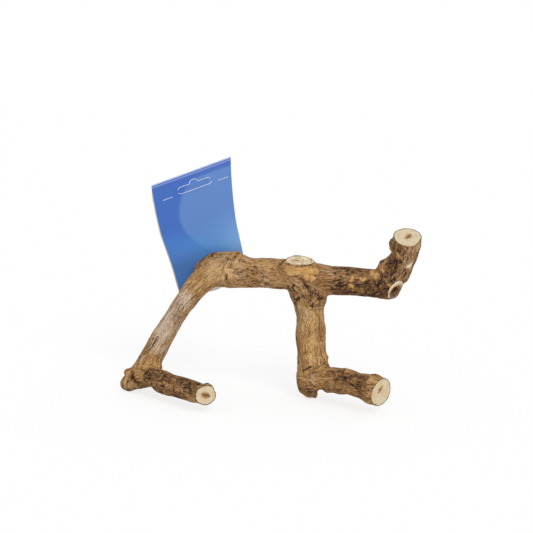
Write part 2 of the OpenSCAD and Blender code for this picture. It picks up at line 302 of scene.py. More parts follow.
@dataclass(frozen=True)
class BarkFinish:
    """Thin dry bark: long fibres, dark dashes, flaking dark skin and peeled places."""

    pale: Colour = (0.56, 0.345, 0.163, 1)
    honey: Colour = (0.405, 0.217, 0.09, 1)
    tan: Colour = (0.285, 0.138, 0.052, 1)
    brown: Colour = (0.135, 0.053, 0.018, 1)
    ashen_dark: Colour = (0.35, 0.25, 0.175, 1)
    ashen: Colour = (0.66, 0.545, 0.42, 1)
    ashen_pale: Colour = (0.83, 0.735, 0.60, 1)
    peeled: Colour = (0.60, 0.365, 0.14, 1)
    peeled_deep: Colour = (0.41, 0.215, 0.07, 1)
    cream: Colour = (0.72, 0.59, 0.40, 1)
    gold_deep: Colour = (0.26, 0.125, 0.042, 1)
    gold: Colour = (0.52, 0.295, 0.108, 1)
    gold_pale: Colour = (0.73, 0.47, 0.205, 1)
    # Black of the dark bark's flakes, also the painted shade at the bottom of the deepest creases and
    # hollows.
    black_flakes_and_shade: Colour = (0.016, 0.013, 0.014, 1)
    umber: Colour = (0.1, 0.043, 0.023, 1)
    rust: Colour = (0.275, 0.12, 0.045, 1)
    chip: Colour = (0.55, 0.275, 0.09, 1)
    # Dark brown of the real cracks and dashes, also used for painted shade in creases and folds.
    crack: Colour = (0.08, 0.031, 0.013, 1)
    fibre_depth: float = 0.0004

    def material(self) -> bpy.types.Material:
        """Build the bark's material."""
        mix = Recipe("dry_bark")
        at = self.places(mix)
        colour, slots, pleats = self.cracked(mix, at, self.fibres(mix, at))
        colour, scale_height = self.flaking(mix, at, self.crumbs(mix, at, colour))
        colour, bare = self.bared(mix, at, colour)
        # Painted shade: creases, hollows and furrows darken to brown, and to black where deepest.
        shade = mix.ease(mix.line(mix.minus(at.hair, 0.5), 1.4, at.crease), 0.3, 0.95)
        crease_shade = mix.mix(mix.ease(at.crease, 0.55, 0.95), self.crack, self.black_flakes_and_shade)
        colour = mix.mix(mix.times(shade, 0.88), colour, crease_shade)

        height = mix.times(at.body, mix.line(bare, -0.7, 1.0))
        height = mix.minus(height, mix.times(slots, 0.45))
        height = mix.line(pleats, -0.6, height)
        height = mix.minus(mix.plus(height, scale_height), mix.times(bare, 0.5))
        return mix.finish(
            {
                "Base Color": colour,
                "Roughness": mix.line(at.body, 0.2, 0.7),
                "Specular IOR Level": 0.12,
                "Normal": mix.bump(height, self.fibre_depth, 0.9),
            }
        )

    def places(self, mix: Recipe) -> BarkPlaces:
        """Read what is painted on the wood, and lay the noises that its layers share.

        Args:
            mix: The recipe.

        Returns:
            What the layers share.
        """
        spot = mix.spot()
        sway = mix.vector("SUBTRACT", mix.wobble(spot, 0.11, 2.0, 0.5), (0.5, 0.5, 0.5))
        sway = mix.vector("MULTIPLY", sway, (3.2, 3.2, 3.2))
        grain = mix.vector("ADD", mix.attribute("grain"), sway)
        tone = mix.add("Attribute", attribute_name="tone")
        dark, peel, crease = mix.parts(tone.outputs["Vector"])
        warm = mix.attribute("warm", "Fac")
        fold = mix.attribute("fold", "Fac")
        loose = mix.ease(warm, 0.55, 0.95)

        knotted = mix.grit(spot, 0.9, 4, 0.64, 1.4)
        hair = mix.grit(mix.stretch(grain, (1, 1, 0.11)), 1.5, 4, 0.66, 0.3)
        hair = mix.between(mix.attribute("hold", "Fac"), knotted, hair)
        strand = mix.grit(mix.stretch(grain, (1, 1, 0.1), (7, 3, 9)), 0.72, 4, 0.66, 0.5)
        thread = mix.grit(mix.stretch(grain, (1, 1, 0.05), (1, 8, 2)), 3.2, 2, 0.6)
        crumb = mix.grit(spot, 1.25, 4, 0.72)
        body = self.blend(mix, ((hair, 1.3), (strand, 1.15), (thread, 0.5), (crumb, 0.75)))
        crumbly = self.blend(mix, ((crumb, 1.7), (knotted, 1.2), (thread, 0.35)))
        body = mix.between(mix.times(loose, 0.8), body, crumbly)
        calm = mix.line(mix.ease(fold, 2.0, 6.0), 0.5, 0.5)
        body = mix.line(mix.minus(body, 0.5), calm, mix.line(calm, -0.06, 0.565))
        grey = tone.outputs["Alpha"]
        return BarkPlaces(
            spot, grain, dark, peel, crease, grey, warm, fold, loose, hair, knotted, crumb, body
        )

    def blend(self, mix: Recipe, layers: tuple[tuple[Socket, float], ...]) -> Socket:
        """Add layers of noise by their weights about a mean of one half."""
        total: object = 0.5
        for layer, weight in layers:
            total = mix.plus(total, mix.line(layer, weight, -0.5 * weight))
        return total

    def fibres(self, mix: Recipe, at: BarkPlaces) -> Socket:
        """Colour the fibres: brown to pale, golden where warm and ashen where weathered.

        Args:
            mix: The recipe.
            at: What the layers share.

        Returns:
            The colour.
        """
        bark = ((0.28, self.brown), (0.42, self.tan), (0.56, self.honey), (0.74, self.pale))
        golden = ((0.28, self.gold_deep), (0.46, self.gold), (0.74, self.gold_pale))
        weathered = ((0.28, self.ashen_dark), (0.5, self.ashen), (0.76, self.ashen_pale))
        drift = mix.grit(mix.stretch(at.grain, (1, 1, 0.5), (2, 2, 5)), 0.22, 3, 0.6, 0.7)
        warmth = mix.line(mix.minus(drift, 0.5), 1.6, at.warm, True)
        colour = mix.mix(warmth, mix.ramp(at.body, bark), mix.ramp(at.body, golden))
        glow = mix.times(mix.ease(at.warm, 0.86, 1.0), mix.ease(at.body, 0.35, 0.6))
        colour = mix.mix(glow, colour, self.gold_pale)
        broad = mix.grit(at.spot, 0.06, 3, 0.55, 0.6)
        ashy = mix.line(mix.minus(broad, 0.5), 1.3, mix.line(at.grey, 1.15, -0.12), True)
        colour = mix.mix(mix.times(ashy, 0.85), colour, mix.ramp(at.body, weathered))
        ruddy = mix.grit(mix.stretch(at.grain, (1, 1, 0.4), (3, 9, 2)), 0.33, 4, 0.62, 0.8)
        colour = mix.mix(mix.times(mix.ease(ruddy, 0.54, 0.66), 0.42), colour, self.peeled_deep)
        dull = mix.grit(mix.stretch(at.grain, (1, 1, 0.3), (8, 1, 4)), 0.2, 3, 0.6, 0.6)
        return mix.mix(mix.times(mix.ease(dull, 0.5, 0.7), 0.45), colour, self.brown)

    def cracked(self, mix: Recipe, at: BarkPlaces, colour: Socket) -> tuple[Socket, Socket, Socket]:
        """Draw the dark dashes and the slits, and paint shade onto the creases' floor and into the pleats
        beside the creases.

        Args:
            mix: The recipe.
            at: What the layers share.
            colour: The bark's colour.

        Returns:
            The colour with its cracks and painted shade, how open the dashes and slits are, and the pleats.
        """
        dashes = mix.grit(mix.stretch(at.grain, (1, 1, 0.2), (9, 1, 6)), 1.0, 4, 0.7, 0.2)
        kept = mix.line(mix.most(at.peel, mix.times(at.loose, 0.55)), -0.9, 0.95)
        dashes = mix.times(mix.ease(dashes, 0.565, 0.62), kept)
        colour = mix.mix(mix.times(dashes, mix.line(at.grey, -0.6, 0.8)), colour, self.crack)
        lines = mix.grit(mix.stretch(at.grain, (1, 1, 0.1), (3, 11, 5)), 0.7, 3, 0.6, 0.6)
        lines = mix.unsigned(mix.minus(lines, 0.5))
        broken = mix.ease(mix.grit(mix.stretch(at.grain, (1, 1, 0.3), (1, 4, 2)), 0.35, 2), 0.48, 0.62)
        slits = mix.times(mix.rest(mix.ease(lines, 0.0, 0.028)), broken)
        slits = mix.times(slits, mix.rest(at.peel))
        colour = mix.mix(mix.times(slits, 0.7), colour, self.crack)
        ripple = mix.line(mix.grit(at.spot, 0.16, 3, 0.6), 7.0, mix.times(at.fold, 3.4))
        pleats = mix.ease(mix.plus(mix.wave(ripple), mix.line(at.crumb, 1.6, -0.8)), 0.55, 0.95)
        pleats = mix.times(pleats, mix.rest(mix.ease(at.fold, 1.2, 5.0)))
        pleats = mix.times(pleats, mix.rest(at.peel))
        furrow = mix.rest(mix.ease(mix.plus(at.fold, mix.line(at.crumb, 1.2, -0.6)), 0.3, 0.75))
        furrow = mix.times(furrow, mix.ease(mix.grit(at.spot, 0.42, 3, 0.65), 0.4, 0.52))
        furrow = mix.times(furrow, mix.ease(mix.plus(at.crease, mix.line(at.crumb, 0.8, -0.4)), 0.2, 0.5))
        # Painted shade: the crease floors and the pleats' grooves are darkened towards dark brown.
        folded = mix.times(mix.most(furrow, mix.times(pleats, 0.75)), 0.88)
        return mix.mix(folded, colour, self.crack), mix.most(slits, mix.times(dashes, 0.6)), pleats

    def crumbs(self, mix: Recipe, at: BarkPlaces, colour: Socket) -> Socket:
        """Scatter dark crumbs, and pale golden crumbs painted as highlights, over the loose bark, and small
        chips all over.

        Args:
            mix: The recipe.
            at: What the layers share.
            colour: The bark's colour.

        Returns:
            The colour with its crumbs.
        """
        specks = mix.ease(mix.grit(mix.shift(at.spot, (7, 7, 2)), 1.3, 4, 0.68, 0.4), 0.6, 0.65)
        colour = mix.mix(mix.times(specks, mix.times(at.loose, 0.7)), colour, self.crack)
        # Partly painted highlight: pale golden spots on the crumbly bark stand for crumbs catching the light.
        crumb_highlights = mix.ease(mix.grit(mix.shift(at.spot, (2, 5, 9)), 1.1, 4, 0.7, 0.5), 0.57, 0.64)
        colour = mix.mix(mix.times(crumb_highlights, mix.times(at.loose, 0.6)), colour, self.gold_pale)
        chips = mix.grit(mix.stretch(at.grain, (1, 1, 0.5), (4, 6, 1)), 1.0, 3, 0.65, 0.4)
        return mix.mix(mix.times(mix.ease(chips, 0.63, 0.68), 0.6), colour, self.chip)

    def flaking(self, mix: Recipe, at: BarkPlaces, colour: Socket) -> tuple[Socket, Socket]:
        """Lay small scales of dark bark over the lighter bark.

        Args:
            mix: The recipe.
            at: What the layers share.
            colour: The bark under the scales.

        Returns:
            The colour with its scales, and the scales' height.
        """
        warp = mix.vector("MULTIPLY", mix.wobble(at.spot, 0.9, 3.0, 0.6), (1.5, 1.5, 0.8))
        place = mix.vector("ADD", mix.stretch(at.grain, (1, 1, 0.22), (2, 5, 3)), warp)
        sizes = {"Vector": place, "Scale": 1.05, "Randomness": 1.0}
        cells = mix.add("TexVoronoi", sizes, feature="F1")
        chance = mix.parts(cells.outputs["Color"])[0]
        seam = mix.add("TexVoronoi", sizes, feature="DISTANCE_TO_EDGE")
        gap = mix.rest(mix.ease(seam.outputs["Distance"], 0.0, 0.1))
        skins = (self.umber, self.rust, self.brown, self.rust, self.tan, self.chip, self.gold)
        stops = tuple(zip((0.0, 0.14, 0.3, 0.46, 0.62, 0.78, 0.92), skins))
        scales = mix.mix(mix.line(at.body, -0.9, 0.7, True), mix.ramp(chance, stops), self.umber)
        scales = mix.mix(mix.times(gap, 0.35), scales, self.umber)
        drift = mix.grit(mix.shift(at.spot, (6, 2, 7)), 0.28, 4, 0.62, 0.7)
        reach = mix.ease(mix.line(mix.minus(drift, 0.5), 1.8, at.dark), 0.12, 0.8)
        colour = mix.mix(mix.times(reach, mix.line(at.dark, 0.6, 0.25)), colour, scales)
        black = self.blackened(mix, at)
        colour = mix.mix(mix.times(black, 0.93), colour, self.black_flakes_and_shade)
        height = mix.times(reach, mix.line(chance, 0.5, mix.times(gap, -0.35)))
        return colour, mix.minus(height, mix.times(black, 0.15))

    def blackened(self, mix: Recipe, at: BarkPlaces) -> Socket:
        """Return where the dark bark has black flakes and finer stitches.

        Args:
            mix: The recipe.
            at: What the layers share.

        Returns:
            The share of black.
        """
        crowd = mix.grit(mix.shift(at.spot, (3, 8, 4)), 0.26, 3, 0.6, 0.5)
        flakes = mix.grit(mix.stretch(at.grain, (1, 1, 0.26), (5, 2, 8)), 0.9, 5, 0.72, 0.4)
        limit = mix.line(crowd, -0.5, mix.line(at.dark, -0.11, 0.865))
        flakes = mix.ease(flakes, limit, mix.plus(limit, 0.028))
        stitches = mix.grit(mix.stretch(at.grain, (1, 1, 0.13), (6, 3, 1)), 1.45, 4, 0.7, 0.3)
        limit = mix.line(crowd, -0.25, mix.line(at.dark, -0.09, 0.79))
        stitches = mix.times(mix.ease(stitches, limit, mix.plus(limit, 0.04)), 0.85)
        return mix.times(mix.most(flakes, stitches), mix.ease(at.dark, 0.02, 0.25))

    def bared(self, mix: Recipe, at: BarkPlaces, colour: Socket) -> tuple[Socket, Socket]:
        """Bare the smooth wood where the bark has peeled, inside a dark lip: the bark's edge, with its shadow
        painted in.

        Args:
            mix: The recipe.
            at: What the layers share.
            colour: The bark's colour.

        Returns:
            The colour with its peeled places, and how bare each place is.
        """
        edge = mix.line(mix.minus(mix.grit(at.spot, 0.8, 5, 0.75, 0.5), 0.5), 3.6, at.peel)
        bare = mix.times(mix.ease(edge, 0.5, 0.56), mix.ease(at.peel, 0.02, 0.2))
        # Partly painted shadow: the dark lip round each peeled place stands for the bark's edge and the
        # shadow under it.
        lip = mix.times(mix.ease(edge, 0.08, 0.44), mix.ease(at.peel, 0.02, 0.16))
        colour = mix.mix(mix.times(lip, 0.72), colour, self.umber)
        depth = mix.grit(mix.stretch(at.spot, (0.5, 1, 1), (4, 4, 4)), 0.5, 4, 0.65, 0.8)
        wood = mix.mix(mix.ease(depth, 0.38, 0.62), self.peeled, self.peeled_deep)
        wood = mix.mix(mix.times(mix.ease(at.knotted, 0.5, 0.7), 0.35), wood, self.peeled_deep)
        wood = mix.mix(mix.ease(at.grey, 0.8, 0.98), wood, self.cream)
        return mix.mix(bare, colour, wood), bare


@dataclass(frozen=True)
class SawnPlaces:
    """What the layers of a sawn end share.

    saw is a place on the end in millimetres, with along and across as its two numbers and
    away as its distance from the pith. crack, stain and ring say how strong each of them is,
    bend is across with a bend in it, and wander and clouds are noises.
    """

    saw: Socket
    along: Socket
    across: Socket
    away: Socket
    crack: Socket
    stain: Socket
    ring: Socket
    bend: Socket
    wander: Socket
    clouds: Socket


@dataclass(frozen=True)
class SawnFinish:
    """A sawn end: cream wood with rings, rays, a pith mark and drying cracks."""

    cream: Colour = (0.625, 0.54, 0.375, 1)
    white: Colour = (0.86, 0.76, 0.55, 1)
    straw: Colour = (0.60, 0.46, 0.265, 1)
    stain: Colour = (0.34, 0.18, 0.065, 1)
    gold: Colour = (0.56, 0.34, 0.13, 1)
    dark: Colour = (0.075, 0.036, 0.016, 1)
    rot: Colour = (0.02, 0.011, 0.007, 1)
    rim: Colour = (0.12, 0.058, 0.026, 1)
    kerf_depth: float = 0.0004

    def material(self) -> bpy.types.Material:
        """Build the sawn end's material."""
        mix = Recipe("sawn_wood")
        at = self.places(mix)
        cracks = self.cracks(mix, at)
        colour, kerf, bands = self.ringed(mix, at)
        colour = self.stained(mix, at, colour)
        colour = mix.mix(mix.times(cracks, 0.85), colour, self.dark)
        colour = mix.mix(mix.ease(at.ring, 0.88, 0.93), colour, self.rotten(mix, at))
        fray = mix.line(mix.grit(at.saw, 0.9, 3, 0.6), 1.1, -0.5)
        bark = mix.rest(mix.ease(mix.plus(mix.attribute("rim", "Fac"), fray), 0.28, 0.62))
        height = mix.minus(mix.times(kerf, 0.35), cracks)
        height = mix.minus(height, mix.times(bands, mix.times(at.ring, 0.5)))
        return mix.finish(
            {
                "Base Color": mix.mix(bark, colour, self.rim),
                "Roughness": mix.line(at.clouds, 0.15, 0.62),
                "Specular IOR Level": 0.25,
                "Normal": mix.bump(height, self.kerf_depth, 0.8),
            }
        )

    def places(self, mix: Recipe) -> SawnPlaces:
        """Read what is written on the sawn end, and lay the noises that its layers share.

        Args:
            mix: The recipe.

        Returns:
            What the layers share.
        """
        saw = mix.attribute("saw")
        along, across, _ = mix.parts(saw)
        crack, stain, ring = mix.parts(mix.attribute("cut"))
        return SawnPlaces(
            saw=saw,
            along=along,
            across=across,
            away=mix.length(mix.add("CombineXYZ", {0: along, 1: across}).outputs[0]),
            crack=crack,
            stain=stain,
            ring=ring,
            bend=mix.plus(across, mix.line(mix.grit(saw, 0.45, 2), 2.4, -1.2)),
            wander=mix.grit(saw, 0.32, 3, 0.6, 0.4),
            clouds=mix.grit(saw, 0.22, 4, 0.6, 0.7),
        )

    def ringed(self, mix: Recipe, at: SawnPlaces) -> tuple[Socket, Socket, Socket]:
        """Colour the wood with its rings and the saw's marks.

        Args:
            mix: The recipe.
            at: What the layers share.

        Returns:
            The colour, the saw's marks and the rings.
        """
        grown = mix.plus(at.away, mix.times(at.wander, 2.4))
        bands = mix.wave(mix.times(grown, mix.line(at.ring, -4.7, 5.4)))
        bands = mix.ease(bands, mix.line(at.ring, 1.1, -0.3), 1.0)
        fresh_wood = mix.mix(mix.times(at.ring, 1.6, True), self.cream, self.white)
        colour = mix.mix(mix.times(mix.ease(at.clouds, 0.42, 0.64), 0.8), fresh_wood, self.straw)
        colour = mix.mix(mix.times(bands, mix.line(at.ring, 0.75, 0.16)), colour, self.stain)
        kerf = mix.grit(mix.stretch(at.saw, (0.25, 3.2, 1), turn=(0, 0, 0.6)), 1.2, 3, 0.6)
        colour = mix.mix(mix.times(mix.ease(kerf, 0.5, 0.8), 0.28), colour, self.straw)
        return colour, kerf, bands

    def cracks(self, mix: Recipe, at: SawnPlaces) -> Socket:
        """Open the drying cracks: one through the pith, and a shorter one that crosses it.

        Args:
            mix: The recipe.
            at: What the layers share.

        Returns:
            How open the wood is.
        """
        length = mix.line(at.crack, 7.5, 0.5)
        fade = mix.rest(mix.ease(mix.unsigned(at.along), mix.times(length, 0.35), length))
        main = mix.times(mix.rest(mix.ease(mix.unsigned(at.bend), 0.12, 0.5)), fade)
        lean = mix.plus(mix.times(at.along, 0.9), mix.line(mix.grit(at.saw, 0.5, 2), 1.8, -0.9))
        fade = mix.rest(mix.ease(mix.unsigned(at.across), 0.8, mix.times(length, 0.55)))
        cross = mix.times(mix.rest(mix.ease(mix.unsigned(lean), 0.08, 0.4)), fade)
        both = mix.most(main, mix.times(cross, at.crack))
        return mix.times(both, mix.ease(at.crack, 0.0, 0.2))

    def stained(self, mix: Recipe, at: SawnPlaces, colour: Socket) -> Socket:
        """Stain the wood round the pith: a golden halo, and a smear along the crack.

        Args:
            mix: The recipe.
            at: What the layers share.
            colour: The wood's colour.

        Returns:
            The stained colour.
        """
        halo = mix.plus(mix.times(at.away, 0.3), mix.line(at.wander, 2.6, -1.3))
        halo = mix.rest(mix.ease(halo, 0.1, 1.3))
        colour = mix.mix(mix.times(halo, mix.times(at.stain, 0.7)), colour, self.gold)
        along = mix.times(at.along, 0.26)
        across = mix.times(at.bend, mix.line(at.stain, -0.26, 0.66))
        smear = mix.plus(mix.times(along, along), mix.times(across, across))
        smear = mix.rest(mix.ease(mix.plus(smear, mix.times(at.wander, 0.6)), 0.35, 1.5))
        return mix.mix(mix.times(smear, at.stain), colour, self.stain)

    def rotten(self, mix: Recipe, at: SawnPlaces) -> Socket:
        """Colour a rotten end: black at its heart, brown bands round it and a pale rim, with painted shade in
        the rim's brown over one side.

        Args:
            mix: The recipe.
            at: What the layers share.

        Returns:
            The colour.
        """
        stops = (
            (0.0, self.rot), (0.14, self.rot), (0.22, self.dark), (0.32, self.stain),
            (0.4, self.rim), (0.5, self.stain), (0.58, self.rim), (0.7, self.stain),
            (0.77, self.gold), (0.83, self.cream), (0.93, self.white),
        )
        grain = mix.line(mix.grit(at.saw, 0.8, 4, 0.65), 0.2, -0.1)
        share = mix.plus(mix.times(at.away, 0.138), mix.times(grain, 1.7))
        # Painted shade: one side of the end is darkened towards the rim's brown, with noise.
        shaded = mix.rest(mix.ease(mix.line(at.across, -0.8, at.along), -5.0, 0.5))
        shaded = mix.times(shaded, mix.line(grain, 2.0, 0.75, True))
        return mix.mix(shaded, mix.ramp(share, stops), self.rim)


@dataclass(frozen=True)
class ZincFinish:
    """Dull zinc plate with faint stains and handling marks."""

    bright: Colour = (0.70, 0.69, 0.66, 1)
    dull: Colour = (0.52, 0.50, 0.46, 1)
    soil: Colour = (0.19, 0.17, 0.14, 1)

    def material(self) -> bpy.types.Material:
        """Build the zinc's material."""
        mix = Recipe("dull_zinc")
        spot = mix.spot()
        clouds = mix.grit(spot, 0.16, 4, 0.62, 0.6)
        spangle = mix.grit(spot, 0.9, 3, 0.6)
        scratches = mix.grit(mix.stretch(spot, (0.12, 1, 2.6), turn=(0.4, 0.3, 0.9)), 1.6, 3, 0.65)
        groove = mix.attribute("groove", "Fac")
        soiled = mix.times(groove, mix.line(mix.grit(spot, 0.5, 3, 0.6), 0.7, 0.3))
        colour = mix.mix(mix.ease(clouds, 0.35, 0.7), self.bright, self.dull)
        colour = mix.mix(mix.times(soiled, 0.8), colour, self.soil)
        rough = mix.plus(mix.line(spangle, 0.16, 0.27), mix.times(scratches, 0.16))
        height = mix.plus(mix.times(spangle, 0.4), scratches)
        return mix.finish(
            {
                "Base Color": colour,
                "Metallic": 1.0,
                "Roughness": rough,
                "Normal": mix.bump(height, 0.00004, 0.6),
            }
        )


@dataclass(frozen=True)
class PrintFinish:
    """Coated board printed in a plain run of blues, worn pale along its fold and edges, with painted shadow
    low on the left and painted shade on its pushed-back tab.
    """

    deep: Colour = (0.026, 0.118, 0.455, 1)
    light: Colour = (0.085, 0.205, 0.51, 1)
    bright: Colour = (0.06, 0.29, 0.68, 1)
    hazy: Colour = (0.24, 0.43, 0.70, 1)
    # Navy of the printed top band, also used for the painted shade on the pushed-back tab.
    header_and_tab_shade: Colour = (0.027, 0.1, 0.425, 1)
    # Painted shadow colour, laid low on the left of the sheet where the branch's shadow falls.
    corner_shadow: Colour = (0.012, 0.06, 0.26, 1)
    worn: Colour = (0.52, 0.60, 0.80, 1)

    def material(self) -> bpy.types.Material:
        """Build the printed side's material."""
        mix = Recipe("blue_print")
        sheet = mix.attribute("sheet")
        edge_gap, _, tab = mix.parts(mix.attribute("trim"))
        # Painted shade: the die-cut tab, pushed back a little from the sheet, is darkened towards the navy.
        colour = mix.mix(mix.times(tab, 0.3), self.blues(mix, sheet), self.header_and_tab_shade)
        dots = mix.grit(mix.stretch(sheet, (1, 1, 9)), 3.2, 2, 0.7)
        colour = mix.mix(mix.times(mix.ease(dots, 0.35, 0.7), 0.1), colour, self.worn)
        rubbed = self.rubbed(mix, sheet, edge_gap)
        colour = mix.mix(mix.times(rubbed, 0.85), colour, self.worn)
        ripple = mix.grit(mix.stretch(sheet, (1, 1, 9)), 0.12, 3, 0.5)
        return mix.finish(
            {
                "Base Color": colour,
                "Roughness": mix.plus(mix.line(dots, 0.12, 0.3), mix.times(rubbed, 0.3)),
                "Specular IOR Level": 0.3,
                "Normal": mix.bump(mix.plus(ripple, mix.times(dots, 0.04)), 0.0003, 0.6),
            }
        )

    def blues(self, mix: Recipe, sheet: Socket) -> Socket:
        """Print the pale disc, the bright hazy foot and the dark band at the top, and paint the branch's
        shadow low on the left.

        Args:
            mix: The recipe.
            sheet: Each point's place on the sheet, and 1 on the back leaf.

        Returns:
            The colour.
        """
        across, up, side = mix.parts(sheet)
        drift = mix.grit(mix.stretch(sheet, (1, 1, 40)), 0.05, 2, 0.5)
        from_disc = mix.length(mix.stretch(sheet, (1, 1, 0), (-27, -37, 0)))
        disc = mix.times(mix.ease(from_disc, 33.0, 29.5), mix.rest(side))
        colour = mix.mix(disc, self.deep, self.light)
        low = mix.rest(mix.ease(mix.plus(up, mix.times(drift, 10)), 4.0, 46.0))
        colour = mix.mix(mix.times(low, 0.9), colour, self.bright)
        haze = mix.times(low, mix.ease(mix.plus(across, mix.times(drift, 8)), 8.0, 40.0))
        colour = mix.mix(mix.times(haze, 0.8), colour, self.hazy)
        # Painted shadow: the sheet darkens towards its lower left, where the branch's shadow falls on it.
        shaded = mix.plus(mix.line(across, 0.3, up), mix.times(drift, 6))
        shaded = mix.rest(mix.ease(shaded, 5.0, 27.0))
        colour = mix.mix(mix.times(shaded, 0.72), colour, self.corner_shadow)
        return mix.mix(mix.times(mix.ease(up, 64.9, 65.7), 0.85), colour, self.header_and_tab_shade)

    def rubbed(self, mix: Recipe, sheet: Socket, edge_gap: Socket) -> Socket:
        """Return where the fold, the crease below it and the edges are rubbed pale.

        Args:
            mix: The recipe.
            sheet: Each point's place on the sheet.
            edge_gap: Its distance from the side edges.

        Returns:
            The share of wear.
        """
        up = mix.parts(sheet)[1]
        rub = mix.grit(mix.stretch(sheet, (0.35, 1, 9)), 1.3, 4, 0.7)
        fold = mix.ease(mix.plus(up, mix.line(rub, 0.7, -0.35)), 69.9, 70.5)
        crease = mix.unsigned(mix.minus(mix.plus(up, mix.line(rub, 0.3, -0.15)), 69.0))
        crease = mix.times(mix.rest(mix.ease(crease, 0.1, 0.4)), 0.6)
        edge = mix.rest(mix.ease(mix.plus(edge_gap, mix.line(rub, 1.0, -0.5)), 0.05, 0.3))
        return mix.most(mix.most(fold, crease), mix.times(edge, 0.55))


@dataclass(frozen=True)
class BoardFinish:
    """Bare cream board: the insides of the leaves and their cut edges."""

    cream: Colour = (0.70, 0.63, 0.50, 1)
    fibre: Colour = (0.55, 0.48, 0.36, 1)

    def material(self) -> bpy.types.Material:
        """Build the bare board's material."""
        mix = Recipe("bare_board")
        sheet = mix.attribute("sheet")
        pulp = mix.grit(mix.stretch(sheet, (1, 0.4, 5)), 1.8, 4, 0.65, 0.6)
        colour = mix.mix(mix.ease(pulp, 0.35, 0.75), self.cream, self.fibre)
        return mix.finish(
            {
                "Base Color": colour,
                "Roughness": mix.line(pulp, 0.2, 0.7),
                "Specular IOR Level": 0.2,
                "Normal": mix.bump(pulp, 0.00008, 0.7),
            }
        )


class Mark(Enum):
    """What a mark on the wood is."""

    CREASE = "crease"
    HOLLOW = "hollow"
    PEEL = "peel"
    DARK_BARK = "dark bark"
    LUMP = "lump"
    ASHEN = "ashen"
    GOLDEN = "golden"


@dataclass(frozen=True)
class WoodMark:
    """A mark along a line, or at a point, of the wood's surface, in millimetres."""

    line: tuple[Point, ...]
    width: float
    depth: float = 0.4
    strength: float = 1.0


class Tone(IntEnum):
    """The columns of what is painted on the wood."""

    DARK = 0
    PEEL = 1
    # Painted shade in the creases, hollows and furrows.
    CREASE = 2
    GREY = 3


@dataclass(frozen=True)
class SawCut:
    """A sawn end: its place in millimetres, the ways it faces, and how its wood looks.

    faces is the way the limb ends, and sawn the way its saw cut faces where that differs.
    turn lays its cracks, pith is the middle of its rings, and a pressed end has no saw cut of
    its own: it grows together with its neighbour, and may have a rotten hollow.
    """

    name: str
    place: Point
    faces: Point
    turn: float = 0.0
    crack: float = 0.5
    stain: float = 0.5
    ring: float = 0.15
    span: float = 13.5
    sawn: Point | None = None
    pressed: bool = False
    hollow: Point | None = None
    pith: Point = (0, 0, 0)

    def plane(self) -> tuple[Vector, Vector, Vector, Vector]:
        """Return the sawn plane's point in metres, the way it faces, and two ways along it."""
        faces = Vector(self.sawn or self.faces).normalized()
        side = faces.cross(Vector((0.2, 0.1, 1))).normalized()
        side = Matrix.Rotation(self.turn, 3, faces) @ side
        return Vector(self.place) * MM, faces, side, faces.cross(side)


@dataclass(frozen=True)
class Limb:
    """One stem of the branch, as stations of centre and radius in millimetres."""

    name: str
    stations: tuple[Station, ...]
    grey: float = 0.2
    twist: float = 0.01
    warm: float = 0.25
    step: float = 1.0
    rounding: int = 24
    batch: int = 20000

    def chain(self) -> tuple[np.ndarray, ...]:
        """Lay even steps of about a millimetre along the limb, and round its bends.

        Returns:
            Centres, radii, lengths along, tangents, and two side directions.
        """
        rows = np.array(self.stations, float)
        gaps = np.linalg.norm(np.diff(rows[:, :3], axis=0), axis=1)
        known = np.concatenate(([0.0], np.cumsum(gaps)))
        along = np.linspace(0, known[-1], max(8, int(known[-1] / self.step)))
        laid = np.stack([np.interp(along, known, rows[:, k]) for k in range(4)], axis=1)
        for _ in range(self.rounding):
            laid[1:-1] = 0.25 * laid[:-2] + 0.5 * laid[1:-1] + 0.25 * laid[2:]
        centres = laid[:, :3]
        tangents = unit(np.gradient(centres, axis=0))
        side = np.zeros_like(centres)
        first = np.cross(tangents[0], (0.3, 0.5, 0.8))
        for row, tangent in enumerate(tangents):
            first = unit(first - tangent * float(first @ tangent))
            side[row] = first
        return centres, laid[:, 3], along, tangents, side, np.cross(tangents, side)

    def places(self, points: np.ndarray) -> tuple[np.ndarray, np.ndarray]:
        """Find where points lie on the limb.

        Args:
            points: Points in millimetres.

        Returns:
            Each point's distance from the centre line as a share of the radius, and its
            place as two directions around and the length along, in millimetres.
        """
        centres, radii, along, tangents, side, up = self.chain()
        near = np.empty(len(points), int)
        for start in range(0, len(points), self.batch):
            part = points[start : start + self.batch]
            gaps = ((part[:, None, :] - centres[None, :, :]) ** 2).sum(axis=2)
            near[start : start + self.batch] = gaps.argmin(axis=1)
        LOG.info("limb %s: %.0f mm", self.name, along[-1])
        offset = points - centres[near]
        ahead = (offset * tangents[near]).sum(axis=1)
        reach = np.linalg.norm(offset, axis=1) / radii[near]
        turn = self.twist * along[near]
        flat = unit(offset - tangents[near] * ahead[:, None])
        cosine = (flat * side[near]).sum(axis=1)
        sine = (flat * up[near]).sum(axis=1)
        girth = float(np.median(radii))
        round_one = girth * (cosine * np.cos(turn) - sine * np.sin(turn))
        round_two = girth * (cosine * np.sin(turn) + sine * np.cos(turn))
        return reach, np.stack([round_one, round_two, along[near] + ahead], axis=1)


